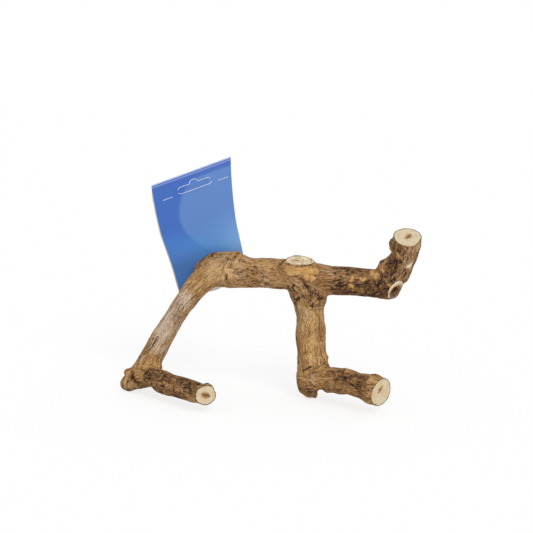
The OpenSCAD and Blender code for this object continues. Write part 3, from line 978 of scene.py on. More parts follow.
LIMBS = (
    Limb("beam_and_middle_arm", (
        (21, -28.6, 4.8, 11.4), (30.2, -30.1, 3.1, 9.9), (43.8, -32, 3.6, 10.5),
        (54.5, -34.5, 2.6, 10.8), (62.5, -36, -1.2, 11.4), (68, -36.3, -7.5, 12),
        (70.5, -36.1, -14, 11.8), (71, -36.1, -21, 10.3), (71.6, -36.1, -31.6, 9.9),
        (71.8, -36.1, -42.3, 10.3), (72.5, -36.1, -55.1, 10.4), (73.3, -36.1, -69.3, 10),
    ), grey=0.12, twist=0.004, warm=0.45),
    Limb("beam_right", (
        (61, -36, 5, 9.5), (66.8, -36.1, 3, 10.6), (74, -37, 1.5, 10.6), (84.7, -38, -0.5, 9.7),
        (98.4, -39.9, -1, 9.5), (110.2, -41.4, -1.9, 9.5), (121.3, -44.2, -3.6, 9.2),
        (128.1, -50, -5, 7.2),
    ), grey=0.1, twist=0.02, warm=0.1),
    Limb("stub", (
        (6, -26, 4, 11.6), (3.9, -18.2, 2.8, 10.7), (1.5, -7.8, 1.2, 10.2), (0, 0, 0, 10.5),
    ), grey=0.16, twist=0.02),
    Limb("left_arm", (
        (16, -28.5, 8.5, 11.4), (6, -26.5, 4.5, 11.6), (-2.3, -26, -2.8, 9.1), (-14, -24, -16.1, 7.6),
        (-26, -21, -34.4, 7.3), (-33.5, -19, -47.7, 7.6), (-40.5, -17, -60.2, 8.6),
        (-46, -16, -72, 10.1),
    ), grey=0.2, twist=0.004, warm=0.5),
    Limb("left_toe", (
        (-48.4, -16, -72, 7.7), (-41.8, -24.9, -71.3, 8.8), (-29.8, -40.2, -71.7, 7),
        (-17.8, -54.1, -71.7, 6.5), (-8.9, -63.8, -71.7, 7), (1, -75, -72, 6.7),
    ), grey=0.0, twist=0.015, warm=0.42),
    Limb("middle_toe", (
        (71.5, -37, -69.3, 9), (79.9, -44.4, -68.7, 9.3), (94.1, -59.1, -66.3, 8.4),
        (104.9, -70.6, -66.6, 8.7), (111.5, -77.5, -67.9, 9), (116.3, -82.1, -68.4, 7.7),
    ), grey=0.0, twist=0.012, warm=0.42),
    Limb("fork", (
        (117.8, -44.2, -3.6, 8.8), (125.5, -45.4, 3.4, 10), (132, -49, 13.9, 9.3),
        (134.6, -52.6, 23.3, 9), (135, -56.2, 31.4, 9.8),
    ), grey=0.12, twist=0.012, warm=0.3),
    Limb("pruned", (
        (66.8, -36.1, 3, 10), (64.6, -36.1, 7.8, 10), (63.7, -36.1, 12.8, 10),
    ), grey=0.1, twist=0.0),
)

CUTS = (
    SawCut("stub", (0, 0, 0), (0, 1, 0), turn=0.4, crack=0.4, stain=0.4),
    SawCut(
        "left_toe",
        (1, -75, -72), (0.25, -0.97, 0),
        turn=-0.1, crack=0.55, stain=1.0, ring=0.08, span=12,
        sawn=(0.42, -0.91, 0),
    ),
    SawCut(
        "middle_toe",
        (116.3, -82.1, -68.4), (0.72, -0.69, 0.05),
        turn=1.1, crack=0.36, stain=0.5, ring=0.12, span=14.5,
        sawn=(0.61, -0.785, -0.1), pith=(-0.6, -0.5, 2.2),
    ),
    SawCut(
        "fork",
        (135, -56.2, 31.4), (0, -0.5, 0.87),
        turn=1.3, crack=0.5, stain=0.9, ring=0.14, pith=(0.8, 0.6, 0.35),
    ),
    SawCut(
        "pruned",
        (63.7, -36.1, 12.8), (0, -0.17, 0.98),
        turn=0.1, crack=0.35, stain=0.8, ring=0.85, span=11.2,
        pressed=True, pith=(-2.4, 0.4, 0),
    ),
    SawCut(
        "beam",
        (128.1, -50, -5), (0.65, -0.61, -0.45),
        crack=0.0, stain=0.0, ring=0.95, span=8.2, pressed=True,
        hollow=(127.6, -49.2, -7.0), pith=(0.6, 0.65, -1.3),
    ),
)

# The line of each mark, then its width, its depth and its strength.
MARKS = {
    Mark.CREASE: (
        WoodMark((
            (64.6, -46.9, 1.4), (65.8, -47.1, 0.5), (68.5, -47.6, -4.3), (72.7, -47.4, -7.8),
            (78.1, -43.5, -11.6), (81, -40, -12.2),
        ), 0.9, 0.8),
        WoodMark(((52.4, -43.7, 6.7), (57.1, -45.4, 4.2), (62.5, -46.5, 2.7)), 0.8, 0.4, 0.5),
        WoodMark(
            ((69, -47.3, -3), (70.2, -47.1, -4), (73.4, -47.3, -6.4), (79.8, -43.7, -9.5)), 0.7, 0.5, 0.9
        ),
        WoodMark((
            (66.6, -47.2, -3), (69.3, -48.3, -6.3), (73, -47.2, -9.9), (76.2, -44.7, -12.4),
        ), 0.7, 0.5, 0.85),
        WoodMark(((48.6, -42, 9.2), (51.3, -44.4, 6)), 0.7, 0.35, 0.75),
        WoodMark(((57.5, -45.7, 5.9), (62, -46.2, 5.2)), 0.6, 0.2, 0.6),
        WoodMark(((50.4, -39.9, 10.9), (52.1, -37, 12.6), (55.7, -30.7, 13.7)), 1.0, 0.7),
        WoodMark(
            ((50, -42.5, 4.5), (53.5, -45.5, 2.2), (61.2, -45, -4), (68.8, -48, -7.6)), 0.7, 0.35, 0.4
        ),
        WoodMark(
            ((60, -44, -8.5), (65, -46.8, -10), (72.7, -47.3, -11.2), (79.2, -43, -14)), 0.8, 0.5, 0.6
        ),
        WoodMark(((66, -47, -14.4), (72.1, -46.5, -16.4), (78.7, -43.2, -16.6)), 0.6, 0.35, 0.6),
        WoodMark((
            (17, -33, 17), (12.3, -38, 11), (10.4, -38.8, 8.6), (11.8, -38.8, 5.6), (13.8, -38.2, 3.2),
            (13.9, -37, -0.4), (15.6, -34.8, -4),
        ), 1.0, 0.6, 0.62),
        WoodMark(((21.7, -32.6, 17.4), (18.2, -38, 13), (16.2, -39.5, 9.4)), 0.9, 0.5, 0.75),
        WoodMark(((64.1, -42.3, -35), (68.8, -45.4, -39.2), (70.9, -45.4, -35.8)), 0.5, 0.3, 0.8),
        WoodMark(((-46.5, -27.1, -64.3), (-42.2, -34.1, -65.6), (-37.5, -40.7, -68.3)), 0.8, 0.5, 0.75),
        WoodMark(((74, -46.5, -61.5), (79, -47, -57.5), (82.5, -45, -54.5)), 0.9, 0.35, 0.3),
        WoodMark((
            (-34.4, -25.4, -42.8), (-36.5, -25.6, -46.8), (-38.7, -25.1, -49.8), (-40.8, -24.7, -52),
            (-43, -24.5, -54.2),
        ), 0.7, 0.3),
        WoodMark((
            (-37, -23.8, -44.6), (-39.4, -24, -48.4), (-41.6, -23.5, -50.1), (-42.7, -23.4, -51.6),
        ), 0.7, 0.3),
        WoodMark((
            (-43.8, -23.1, -53.1), (-45.2, -22.7, -55.3), (-45.9, -22.8, -56.7), (-48.4, -22, -60),
        ), 0.7, 0.3),
        WoodMark(((-50.6, -26.2, -72.2), (-49.4, -24.6, -75.4), (-48, -21.4, -78.6)), 0.8, 0.5),
        WoodMark(((-47.8, -30, -71.6), (-46.6, -28, -74.6), (-46.2, -23, -78)), 0.7, 0.5, 0.9),
        WoodMark(((69.5, -45.8, -54.6), (73.8, -46.6, -56), (77.4, -46, -58.8)), 0.6, 0.25, 0.25),
        WoodMark(((30.6, -39.3, -0.9), (33.8, -39.9, -1), (36.8, -40.5, -1.4)), 0.65, 0.3, 0.95),
    ),
    Mark.HOLLOW: (
        WoodMark(((66, -42.8, -62.9), (71, -46.2, -59.4)), 0.75, 0.45),
        WoodMark(((71.3, -46.4, -59.2),), 1.0, 0.6),
        WoodMark(((63, -46, -11.6), (61.7, -43.8, -13.2)), 1.3, 0.6),
        WoodMark(((61.7, -43.8, -13.2), (61, -43.3, -15.4), (61.6, -42.8, -18.9)), 0.9, 0.6),
        WoodMark(((59.7, -44.5, -2.8), (59.1, -42.6, -4.8), (59.9, -42.6, -6.9)), 1.0, 0.5),
        WoodMark(((75.9, -44.8, -11.9), (77.6, -43.9, -12.9), (79.4, -42.4, -12.2)), 1.1, 0.7),
        WoodMark(((73.3, -46.5, -15.5),), 0.7, 0.35),
        WoodMark(((21.7, -32.6, 17.4),), 1.4, 0.6, 0.7),
        WoodMark(((-52.2, -24, -71.8), (-49.8, -25.6, -73.8), (-48.6, -24, -76.4)), 2.9, 1.1, 0.62),
        WoodMark(((-52.4, -23.4, -72.4), (-49.9, -25.6, -73.6)), 1.3, 0.5),
        WoodMark(((13.8, -38.2, 3), (13.9, -37, -0.6)), 0.85, 0.4),
        WoodMark(((14.4, -37.6, 14.2), (17.6, -37.2, 13.4)), 0.9, 0.35, 0.7),
    ),
    Mark.LUMP: (
        WoodMark(((94.1, -59.1, -57.7),), 2.4, 0.6),
        WoodMark(((1.6, -72.2, -65.4), (5.2, -71.6, -66.6)), 2.3, 1.9),
        WoodMark(((-30, -40, -71.7), (-18.5, -53.5, -71.7)), 9.0, 1.8),
        WoodMark(((113, -79, -58.5), (118, -82, -60)), 4.5, 1.5),
        WoodMark(((118.6, -50, 13.4), (118.6, -43, 13.4)), 1.2, 1.8),
        WoodMark(((121.4, -54, 18.4), (121.4, -47, 18.4)), 1.2, 1.0),
        WoodMark(((123.6, -55, 22.4), (123.6, -48, 22.4)), 1.1, 1.5),
        WoodMark(((114, -49, 9.2), (114, -42, 9.2)), 1.2, 1.4),
        WoodMark(((116.6, -82.2, -68.4),), 9.0, 1.9),
        WoodMark(((81.5, -41, -10.8),), 2.2, 1.1),
        WoodMark(((77.8, -30, -80.6), (78.6, -52, -76.4)), 2.4, -2.8),
        WoodMark(((75, -42, -81.4), (75, -31, -82.8)), 1.3, 1.0),
        WoodMark(((62.6, -36, -69), (62.4, -36, -76)), 6.0, 1.4),
        WoodMark(((64.6, -39.5, -80),), 3.6, -1.2),
        WoodMark(((-44, -20, -81), (-38, -28, -79)), 5.0, -3.2),
        WoodMark(((124.7, -57.3, 27.6),), 2.0, 0.8),
        WoodMark(((-0.9, -22, -12.1), (4.8, -24, -8.3)), 6.0, -2.0),
        WoodMark(((-6.5, -22, -16.4),), 5.0, -1.2),
        WoodMark(((-42.8, -27, -76.7), (-35.5, -34, -78.2)), 5.6, -5.0),
        WoodMark(((112.5, -46, 6.4), (115.8, -46, 7.8), (119.9, -48, 12.7)), 3.4, 2.0),
        WoodMark(((115, -49, 6.5), (121, -52, 10)), 1.6, 0.7),
        WoodMark(((6, -36, 12), (8.5, -37, 5)), 3.2, 0.7),
    ),
    Mark.GOLDEN: (
        WoodMark(((8, -37, 8), (2, -35, 2), (15, -38, 4)), 9.0, strength=0.95),
        WoodMark(((20, -38, 12), (28, -39, 8)), 7.0, strength=0.8),
        WoodMark(((68, -46, -14), (71, -46, -30), (72, -46, -44)), 9.0, strength=0.85),
        WoodMark(((74, -46.5, -50), (78, -46.5, -58)), 6.0, strength=0.8),
        WoodMark(((70.4, -46.1, -51.8), (74.6, -46.5, -53.8), (78.4, -45, -56.4)), 4.6),
        WoodMark(((-57.8, -19.3, -73.3), (-58.8, -19.8, -77.2)), 2.6),
        WoodMark(((-44, -25, -62), (-36, -28, -66)), 7.0, strength=0.7),
        WoodMark(((56, -44, 9), (72, -46, 5)), 6.0, strength=0.7),
        WoodMark(((67.5, -45.9, -19.5), (68.5, -46, -30)), 4.0, strength=0.95),
        WoodMark(((57, -45, -2), (68, -47.5, -8), (76, -46, -12)), 5.0, strength=0.75),
    ),
    Mark.ASHEN: (
        WoodMark(((72.9, -49, -65.6), (74.6, -48.8, -67)), 3.4, strength=0.5),
        WoodMark(((135.9, -57.6, 11.4), (137.9, -56.8, 13)), 3.0),
        WoodMark((
            (-17, -31, -16), (-25.6, -28.2, -26.5), (-32.9, -26.3, -41), (-35.5, -26, -50),
        ), 8.5, strength=0.8),
        WoodMark(((-20, -27, -22), (-31, -24, -40)), 9.0, strength=0.6),
        WoodMark(((134, -58, 24), (136, -57, 14)), 4.5, strength=0.45),
        WoodMark(((-10, -14, 3), (-6, -18, 8.6), (-2.4, -25, 13)), 5.0, strength=0.4),
    ),
    Mark.PEEL: (
        WoodMark(((56.5, -44.6, 8.4), (64, -46.6, 6.8), (73.4, -45.2, 7)), 4.0, 0.3),
        WoodMark(((68.5, -47, 2.8), (72.4, -47, 1.8)), 2.8, 0.25, 0.97),
        WoodMark(((99.4, -48.5, 3.4), (98.7, -48.7, 0.9)), 1.5, 0.3),
        WoodMark(((104.8, -49.4, 3.4), (106, -49.6, 2), (107.8, -49.8, 2.4)), 1.5, 0.3),
        WoodMark(((97.3, -49.4, -2.2), (99.4, -49.6, -2.8)), 1.4, 0.25),
        WoodMark(((112.7, -48.7, 6.2), (114.8, -48.8, 7), (114.9, -49.9, 4.2)), 2.9, 0.35),
        WoodMark(((119.6, -51.2, 12.3), (118.9, -51.8, 10), (119.6, -52.6, 8)), 1.3, 0.3),
        WoodMark(((110, -50, -3), (111.2, -50, -4)), 0.9, 0.2, 0.9),
        WoodMark(((93, -47, 4), (94.4, -47, 3.4)), 0.9, 0.2, 0.9),
        WoodMark(((123, -55, -1), (124.6, -55.4, -2)), 1.1, 0.2, 0.9),
        WoodMark(((102, -36, 8.8), (104, -37, 8.8)), 1.6, 0.2, 0.9),
        WoodMark(((95, -31, 3), (98, -31, 2)), 2.0, 0.2, 0.9),
        WoodMark(((128, -58.6, 21.1), (129.3, -59.4, 18.5)), 1.0, 0.25, 0.85),
        WoodMark(((135.9, -57.6, 11.4), (137.9, -56.8, 13)), 1.6, 0.3),
    ),
    Mark.DARK_BARK: (
        WoodMark(
            ((90.5, -47.5, -3.8), (97, -48.5, -4.5), (107.6, -50.2, -4.3), (120, -52.5, -3)), 9.0, 0.12
        ),
        WoodMark(((92, -46, -8), (116.4, -50.4, -8)), 7.0, 0.12),
        WoodMark(((89, -43.5, 7), (97, -44, 7.5), (112, -46, 7)), 7.0, 0.1, 0.72),
        WoodMark(((86, -34, 9), (114, -40, 8)), 7.0, 0.1, 0.45),
        WoodMark(((118, -52, 2), (125, -55, 7), (126.5, -54, 14.3)), 7.5, 0.14),
        WoodMark(((91.5, -47.8, 0.2), (96.4, -48.7, -4.2)), 4.0, 0.12),
        WoodMark(((124.5, -54, 14.3), (129.9, -59, 19), (128, -58, 25)), 5.5, 0.1, 0.9),
        WoodMark((
            (84, -57.6, -61.4), (90.6, -62.1, -59.8), (98, -71.2, -59.7), (106, -79.2, -59.6),
        ), 4.4, 0.02, 0.85),
        WoodMark(((87.8, -63.5, -62.8), (93.5, -68.8, -61.6)), 4.8, 0.02),
        WoodMark(((99.7, -77.2, -63), (103.9, -82.2, -65.1)), 6.0, 0.02, 0.95),
        WoodMark(((-53, -24, -71), (-48.5, -28, -76)), 5.0, 0.1),
        WoodMark(((84, -56, -70), (95, -66, -70), (108, -79, -72)), 8.0, 0.02, 0.36),
        WoodMark(((-38.6, -35, -65), (-29.5, -46.3, -66.6)), 4.8, 0.02),
        WoodMark(((-17.9, -56.9, -65.1), (-7.5, -73.6, -68.4)), 5.4, 0.02),
        WoodMark(((1.6, -72.2, -65.4), (5.2, -71.6, -66.6)), 2.4, 0.1),
        WoodMark(((-40, -36, -68), (-20.9, -54, -66.5), (-5, -70, -67)), 7.5, 0.02, 0.8),
        WoodMark(((-36, -40, -74), (-12, -66, -74)), 6.5, 0.02, 0.7),
        WoodMark(((-50, -28, -75), (-43, -33, -75)), 5.5, 0.1, 0.62),
        WoodMark(((-10, -14, 3), (-6, -18, 8.6), (-2.4, -25, 13), (3.8, -28.5, 16.4)), 6.0, 0.06),
        WoodMark(((25, -40, 3), (36, -42, 1), (42, -42, 0)), 5.0, 0.04, 0.42),
        WoodMark(((24, -38, -4), (42, -40, -5)), 3.5, 0.04, 0.36),
        WoodMark(((25, -36, 13), (30, -38, 8), (38, -41, 5.6)), 3.5, 0.03, 0.42),
        WoodMark(((-49, -21, -58), (-40, -24, -49), (-33, -25.5, -40)), 3.6, 0.08, 0.3),
        WoodMark(((52, -33, -9), (30, -28, -9), (12, -18, -6)), 5.5, 0.08, 0.4),
        WoodMark(((60, -28, -30), (62, -27, -50)), 4.5, 0.08, 0.5),
        WoodMark(((66, -40, -74), (72, -46, -77), (80, -46, -78)), 6.0, 0.1, 0.55),
        WoodMark(((84, -28, -3), (104, -31, -4), (120, -36, -4)), 8.5, 0.1, 0.8),
        WoodMark(((126.2, -55, 26.6), (125.2, -54, 29)), 4.0, 0.2),
        WoodMark(((140, -44, 12), (141, -49, 24)), 5.0, 0.1, 0.6),
    ),
}


@dataclass
class Carving:
    """How the marks change the wood, point by point, and the noises that fray them.

    relief is a height in millimetres, tone has a column for each Tone, and fold is the
    distance to the nearest strong crease in millimetres.
    """

    relief: np.ndarray
    tone: np.ndarray
    warm: np.ndarray
    fold: np.ndarray
    ragged: np.ndarray
    ridges: np.ndarray

    def paint(self, column: Tone, amount: np.ndarray) -> None:
        """Paint an amount wherever there is less of it."""
        self.tone[:, column] = np.maximum(self.tone[:, column], amount)

    def faded(
        self, mark: WoodMark, share: np.ndarray, solid: float = 0.3, end: float = 1.2, fray: float = 0.3
    ) -> np.ndarray:
        """Return a mark's strength: whole up to solid and gone past end, with a frayed edge."""
        return mark.strength * (1 - smoothstep(solid, end, share + fray * self.ragged))

    def press(self, kind: Mark, mark: WoodMark, gap: np.ndarray) -> None:
        """Press a mark into the wood and paint it.

        Args:
            kind: What the mark is.
            mark: Its sizes.
            gap: Each point's distance to the mark's line, in millimetres.
        """
        share = gap / mark.width
        if kind is Mark.CREASE:
            self.crease(mark, share)
            if mark.strength > 0.3:
                self.fold = np.minimum(self.fold, gap)
        elif kind is Mark.HOLLOW:
            self.hollow(mark, share)
        elif kind is Mark.LUMP:
            self.relief += mark.depth * np.exp(-share * share)
        elif kind is Mark.GOLDEN:
            self.warm = np.maximum(self.warm, self.faded(mark, share))
        elif kind is Mark.ASHEN:
            self.paint(Tone.GREY, self.faded(mark, share))
        elif kind is Mark.PEEL:
            bare = self.faded(mark, share, solid=0.25, end=1.5, fray=0.35)
            self.paint(Tone.PEEL, bare)
            self.relief -= mark.depth * bare
        else:
            spread = self.faded(mark, share, solid=0.35, end=1.15)
            self.paint(Tone.DARK, spread)
            scales = 2.2 * mark.depth * spread * smoothstep(-0.05, 0.2, self.ragged)
            self.relief += scales * smoothstep(-0.3, 0.1, self.ridges)

    def crease(self, mark: WoodMark, share: np.ndarray) -> None:
        """Press a crease with a low lip on each side, and paint shade into it."""
        wavy = share * (1 + 0.3 * self.ragged)
        self.relief -= mark.depth * np.exp(-wavy * wavy)
        self.relief += 0.4 * mark.depth * np.exp(-((wavy - 2.4) ** 2))
        self.paint(Tone.CREASE, mark.strength * np.exp(-wavy * wavy))

    def hollow(self, mark: WoodMark, share: np.ndarray) -> None:
        """Press a flat-floored hollow with a narrow lip, and paint shade into it."""
        wavy = share * (1 + 0.35 * self.ragged)
        self.relief -= mark.depth * np.exp(-(wavy**4))
        self.relief += 0.35 * mark.depth * np.exp(-((2 * (wavy - 1.7)) ** 2))
        self.paint(Tone.CREASE, mark.strength * (1 - smoothstep(0.6, 1.3, wavy)))


@dataclass
class Branch:
    """The grown branch: its own wood sculpted over the plain solid, then sawn at its ends."""

    node: str = "branch"
    body: str = "perch"
    grain_size: float = 0.00066
    overcut: float = 3.2
    rim_width: float = 1.4
    saw_reach: float = 1.5
    pressed_merge: float = 0.22
    rot_depth: float = 1.9
    no_fold: float = 99.0
    smoothing: int = 14
    blends: tuple[tuple[Point, float, int], ...] = (
        ((82, -41.7, -53.3), 8.0, 90),
        ((73.3, -37, -72), 15.0, 60),
        ((80, -44, -64), 12.0, 40),
        ((-47, -18, -72), 12.0, 30),
        ((9, -28, 4), 16.0, 30),
        ((68, -36, -6), 17.0, 30),
        ((120, -46, 0), 13.0, 25),
    )

    def build(self) -> bpy.types.Object:
        """Make the branch.

        Returns:
            The finished piece.
        """
        blank = self.blank()
        points, edges = self.read(blank)
        points = self.soften(points, edges)
        normals = self.normals(blank, points)
        anatomy = self.anatomy(points * TO_MM)
        points, wood = self.carve(points * TO_MM, normals, anatomy)
        points *= MM
        # Painted shade: the furrows of the carved surface are darkened through the crease column.
        wood.paint(Tone.CREASE, 0.6 * self.shade_in_furrows(points, edges, self.normals(blank, points)))
        self.note(blank, anatomy, wood)
        piece = bpy.data.objects.new("grown_branch", blank)
        bpy.context.scene.collection.objects.link(piece)
        self.saw(blank)
        blank.materials.append(BarkFinish().material())
        blank.materials.append(SawnFinish().material())
        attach(piece, self.body)
        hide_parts(self.node)
        return piece

    def blank(self) -> bpy.types.Mesh:
        """Copy the solid, lengthen its sawn ends and cover it with even small faces."""
        bm = bmesh.new()
        bm.from_mesh(bpy.data.objects[self.node].data)
        bmesh.ops.remove_doubles(bm, verts=bm.verts, dist=MERGE)
        for cut in CUTS:
            place, faces = Vector(cut.place) * MM, Vector(cut.faces).normalized()
            flat = [
                f
                for f in bm.faces
                if f.normal.dot(faces) > 0.995
                and abs((f.calc_center_median() - place).dot(faces)) < 0.0001
                and (f.calc_center_median() - place).length < (cut.span + 2) * MM
            ]
            grown = bmesh.ops.extrude_face_region(bm, geom=flat)["geom"]
            moved = [v for v in grown if isinstance(v, bmesh.types.BMVert)]
            bmesh.ops.translate(bm, verts=moved, vec=faces * self.overcut * MM)
            bmesh.ops.delete(bm, geom=flat, context="FACES_ONLY")
        mesh = remeshed(self.node, self.grain_size, bm)
        mesh.name = "grown_branch"
        LOG.info("branch blank: %d points, %d faces", len(mesh.vertices), len(mesh.polygons))
        return mesh

    def read(self, mesh: bpy.types.Mesh) -> tuple[np.ndarray, np.ndarray]:
        """Return a mesh's points and edges as arrays."""
        points = np.empty(len(mesh.vertices) * 3, np.float32)
        mesh.vertices.foreach_get("co", points)
        edges = np.empty(len(mesh.edges) * 2, np.int32)
        mesh.edges.foreach_get("vertices", edges)
        return points.reshape(-1, 3).astype(float), edges.reshape(-1, 2)

    def average(self, values: np.ndarray, edges: np.ndarray) -> np.ndarray:
        """Return each point's mean over its neighbours, for one or more columns."""
        count = len(values)
        hits = np.bincount(edges.ravel(), minlength=count)
        total = np.zeros_like(values)
        for column in range(values.shape[1]):
            total[:, column] = np.bincount(edges[:, 0], values[edges[:, 1], column], count)
            total[:, column] += np.bincount(edges[:, 1], values[edges[:, 0], column], count)
        return total / hits[:, None]

    def soften(self, points: np.ndarray, edges: np.ndarray) -> np.ndarray:
        """Round off the facets without shrinking the limbs.

        Args:
            points: The points.
            edges: The pairs of neighbours.

        Returns:
            The softened points.
        """
        for _ in range(self.smoothing):
            points = points + 0.62 * (self.average(points, edges) - points)
            points = points - 0.60 * (self.average(points, edges) - points)
        for _ in range(3):
            points = points + 0.5 * (self.average(points, edges) - points)
        for place, reach, rounds in self.blends:
            share = np.linalg.norm(points * TO_MM - np.array(place), axis=1) / reach
            held = (1 - smoothstep(0.55, 1.0, share))[:, None]
            for _ in range(rounds):
                points = points + 0.5 * held * (self.average(points, edges) - points)
        return points

    def normals(self, mesh: bpy.types.Mesh, points: np.ndarray) -> np.ndarray:
        """Return the normals that a mesh has with its points moved."""
        mesh.vertices.foreach_set("co", points.astype(np.float32).ravel())
        mesh.update()
        found = np.empty(len(mesh.vertices) * 3, np.float32)
        mesh.vertex_normals.foreach_get("vector", found)
        return found.reshape(-1, 3).astype(float)

    def anatomy(self, points: np.ndarray) -> dict[str, np.ndarray]:
        """Find which limb each point belongs to, and where it lies on it.

        Args:
            points: Points in millimetres.

        Returns:
            The places on the two nearest limbs, how much the second one counts, how well the
            fibres hold to the first, how near their crotch is, and the limbs' greyness and warmth.
        """
        found = [limb.places(points) for limb in LIMBS]
        reach = np.stack([row[0] for row in found])
        order = np.argsort(reach, axis=0)
        rows = np.arange(len(points))
        places = np.stack([row[1] + LIMB_PATTERN_GAP * number for number, row in enumerate(found)])
        greys = np.array([limb.grey for limb in LIMBS])
        gap = reach[order[1], rows] - reach[order[0], rows]
        second = 0.5 * (1 - smoothstep(0, 0.5, gap))
        grey = greys[order[0]] * (1 - second) + greys[order[1]] * second
        warms = np.array([limb.warm for limb in LIMBS])
        warm = warms[order[0]] * (1 - second) + warms[order[1]] * second
        return {
            "first": places[order[0], rows],
            "other": places[order[1], rows],
            "second": second,
            "hold": smoothstep(0.01, 0.16, gap),
            "crotch": 1 - smoothstep(0.0, 0.4, gap),
            "grey": grey,
            "warm": warm,
        }

    def streaks(
        self, anatomy: dict[str, np.ndarray], across: float, along: float, shift: float
    ) -> np.ndarray:
        """Return noise drawn out along the limbs, from about -1 to 1.

        Args:
            anatomy: Where the points lie.
            across: Streaks per millimetre across the grain.
            along: Streaks per millimetre along the grain.
            shift: Moves the pattern to another one.

        Returns:
            The noise.
        """
        scale = np.array((across, across, along))
        first = anatomy["first"] * scale + shift
        other = anatomy["other"] * scale + shift
        near = np.array([noise.noise(row) for row in first.tolist()])
        share = anatomy["second"]
        far = np.zeros_like(near)
        mixed = np.flatnonzero(share > 0.01)
        far[mixed] = [noise.noise(row) for row in other[mixed].tolist()]
        return near * (1 - share) + far * share

    def speckle(self, points: np.ndarray, scale: float, shift: float) -> np.ndarray:
        """Return even noise of some clouds per millimetre, from about -1 to 1."""
        return np.array([noise.noise(row) for row in (points * scale + shift).tolist()])

    def weathered(self, points: np.ndarray, anatomy: dict[str, np.ndarray]) -> Carving:
        """Give the wood its lumps, flutes, ridges and threads, before any mark is made.

        Args:
            points: Points in millimetres.
            anatomy: Where they lie on the limbs.

        Returns:
            The wood without its marks.
        """
        lumps = self.speckle(points, 0.085, 11.0)
        grain = self.speckle(points, 0.34, 23.0)
        flutes = self.streaks(anatomy, 0.2, 0.016, 5.0)
        ridges = self.streaks(anatomy, 0.5, 0.06, 17.0)
        threads = self.streaks(anatomy, 0.9, 0.12, 29.0)
        folds = np.sin(12.0 * self.speckle(points, 0.1, 41.0) + 2.4 * flutes)
        relief = 0.36 * lumps + 0.2 * flutes + 0.2 * (0.5 - np.abs(ridges)) + 0.17 * threads + 0.14 * grain
        relief += 0.14 * folds * anatomy["crotch"]
        tone = np.zeros((len(points), len(Tone)))
        tone[:, Tone.GREY] = anatomy["grey"]
        return Carving(
            relief=relief,
            tone=tone,
            warm=anatomy["warm"],
            fold=np.full(len(points), self.no_fold),
            ragged=0.55 * self.speckle(points, 0.32, 53.0) + 0.45 * self.speckle(points, 0.8, 61.0),
            ridges=ridges,
        )

    def swayed(self, points: np.ndarray) -> np.ndarray:
        """Return the points moved about by noise, so that the creases wander."""
        moved = points.copy()
        for axis in range(3):
            broad = self.speckle(points, 0.2, 101.0 + 7 * axis)
            fine = self.speckle(points, 0.55, 131.0 + 7 * axis)
            moved[:, axis] += 0.8 * broad + 0.3 * fine
        return moved

    def carve(
        self, points: np.ndarray, normals: np.ndarray, anatomy: dict[str, np.ndarray]
    ) -> tuple[np.ndarray, Carving]:
        """Carve the wood: its own relief, its marks, and dark bark at random over the rest.

        Args:
            points: Points in millimetres.
            normals: Their normals.
            anatomy: Where they lie on the limbs.

        Returns:
            The carved points, and what was carved and painted.
        """
        wood = self.weathered(points, anatomy)
        swayed = self.swayed(points)
        for kind, marks in MARKS.items():
            ground = swayed if kind is Mark.CREASE else points
            for mark in marks:
                wood.press(kind, mark, self.gap(ground, mark.line))
        wild = 0.45 * smoothstep(0.15, 0.6, self.speckle(points, 0.045, 71.0) + 0.25 * wood.ragged)
        peel = wood.tone[:, Tone.PEEL]
        wood.paint(Tone.DARK, wild * (1 - peel))
        wood.tone[:, Tone.DARK] *= 1 - peel
        wood.relief *= 1 - 0.35 * peel
        return points + normals * wood.relief[:, None], wood

    def gap(self, points: np.ndarray, line: tuple[Point, ...]) -> np.ndarray:
        """Return each point's distance to a line of points, in millimetres."""
        rows = np.array(line, float)
        if len(rows) == 1:
            return np.linalg.norm(points - rows[0], axis=1)
        best = np.full(len(points), np.inf)
        for start, end in zip(rows[:-1], rows[1:]):
            step = end - start
            share = np.clip(((points - start) @ step) / float(step @ step), 0, 1)
            best = np.minimum(best, np.linalg.norm(points - start - share[:, None] * step, axis=1))
        return best

    def shade_in_furrows(self, points: np.ndarray, edges: np.ndarray, normals: np.ndarray) -> np.ndarray:
        """Return how far each point lies in a furrow, from 0 to 1, which sets how much painted shade it gets.
        """
        wide = points
        for _ in range(5):
            wide = self.average(wide, edges)
        depth = ((wide - points) * normals).sum(axis=1) * TO_MM
        return smoothstep(0.03, 0.22, depth)

    def note(self, mesh: bpy.types.Mesh, anatomy: dict[str, np.ndarray], wood: Carving) -> None:
        """Write what the materials of the bark and of the sawn ends read.

        Args:
            mesh: The branch's mesh.
            anatomy: Where the points lie on the limbs.
            wood: What was painted on them.
        """
        nowhere = np.zeros((len(wood.tone), 3))
        rows = (
            ("grain", "FLOAT_VECTOR", "vector", anatomy["first"]),
            ("tone", "FLOAT_COLOR", "color", wood.tone),
            ("hold", "FLOAT", "value", anatomy["hold"]),
            ("warm", "FLOAT", "value", wood.warm),
            ("fold", "FLOAT", "value", wood.fold),
            ("saw", "FLOAT_VECTOR", "vector", nowhere),
            ("cut", "FLOAT_VECTOR", "vector", nowhere),
            ("rim", "FLOAT", "value", np.ones(len(wood.tone))),
        )
        for name, kind, field_name, values in rows:
            layer = mesh.attributes.new(name, kind, "POINT")
            layer.data.foreach_set(field_name, values.astype(np.float32).ravel())

    def saw(self, mesh: bpy.types.Mesh) -> None:
        """Finish the lengthened ends, each sawn off or pressed flat.

        Args:
            mesh: The branch's mesh.
        """
        bm = bmesh.new()
        bm.from_mesh(mesh)
        for face in bm.faces:
            face.smooth = True
        for number, cut in enumerate(CUTS):
            end = self.press(bm, cut, number) if cut.pressed else self.saw_off(bm, cut, number)
            LOG.info("sawn end %s: %d faces", cut.name, end)
        bmesh.ops.triangulate(bm, faces=[f for f in bm.faces if len(f.verts) > 4])
        bm.to_mesh(mesh)
        bm.free()

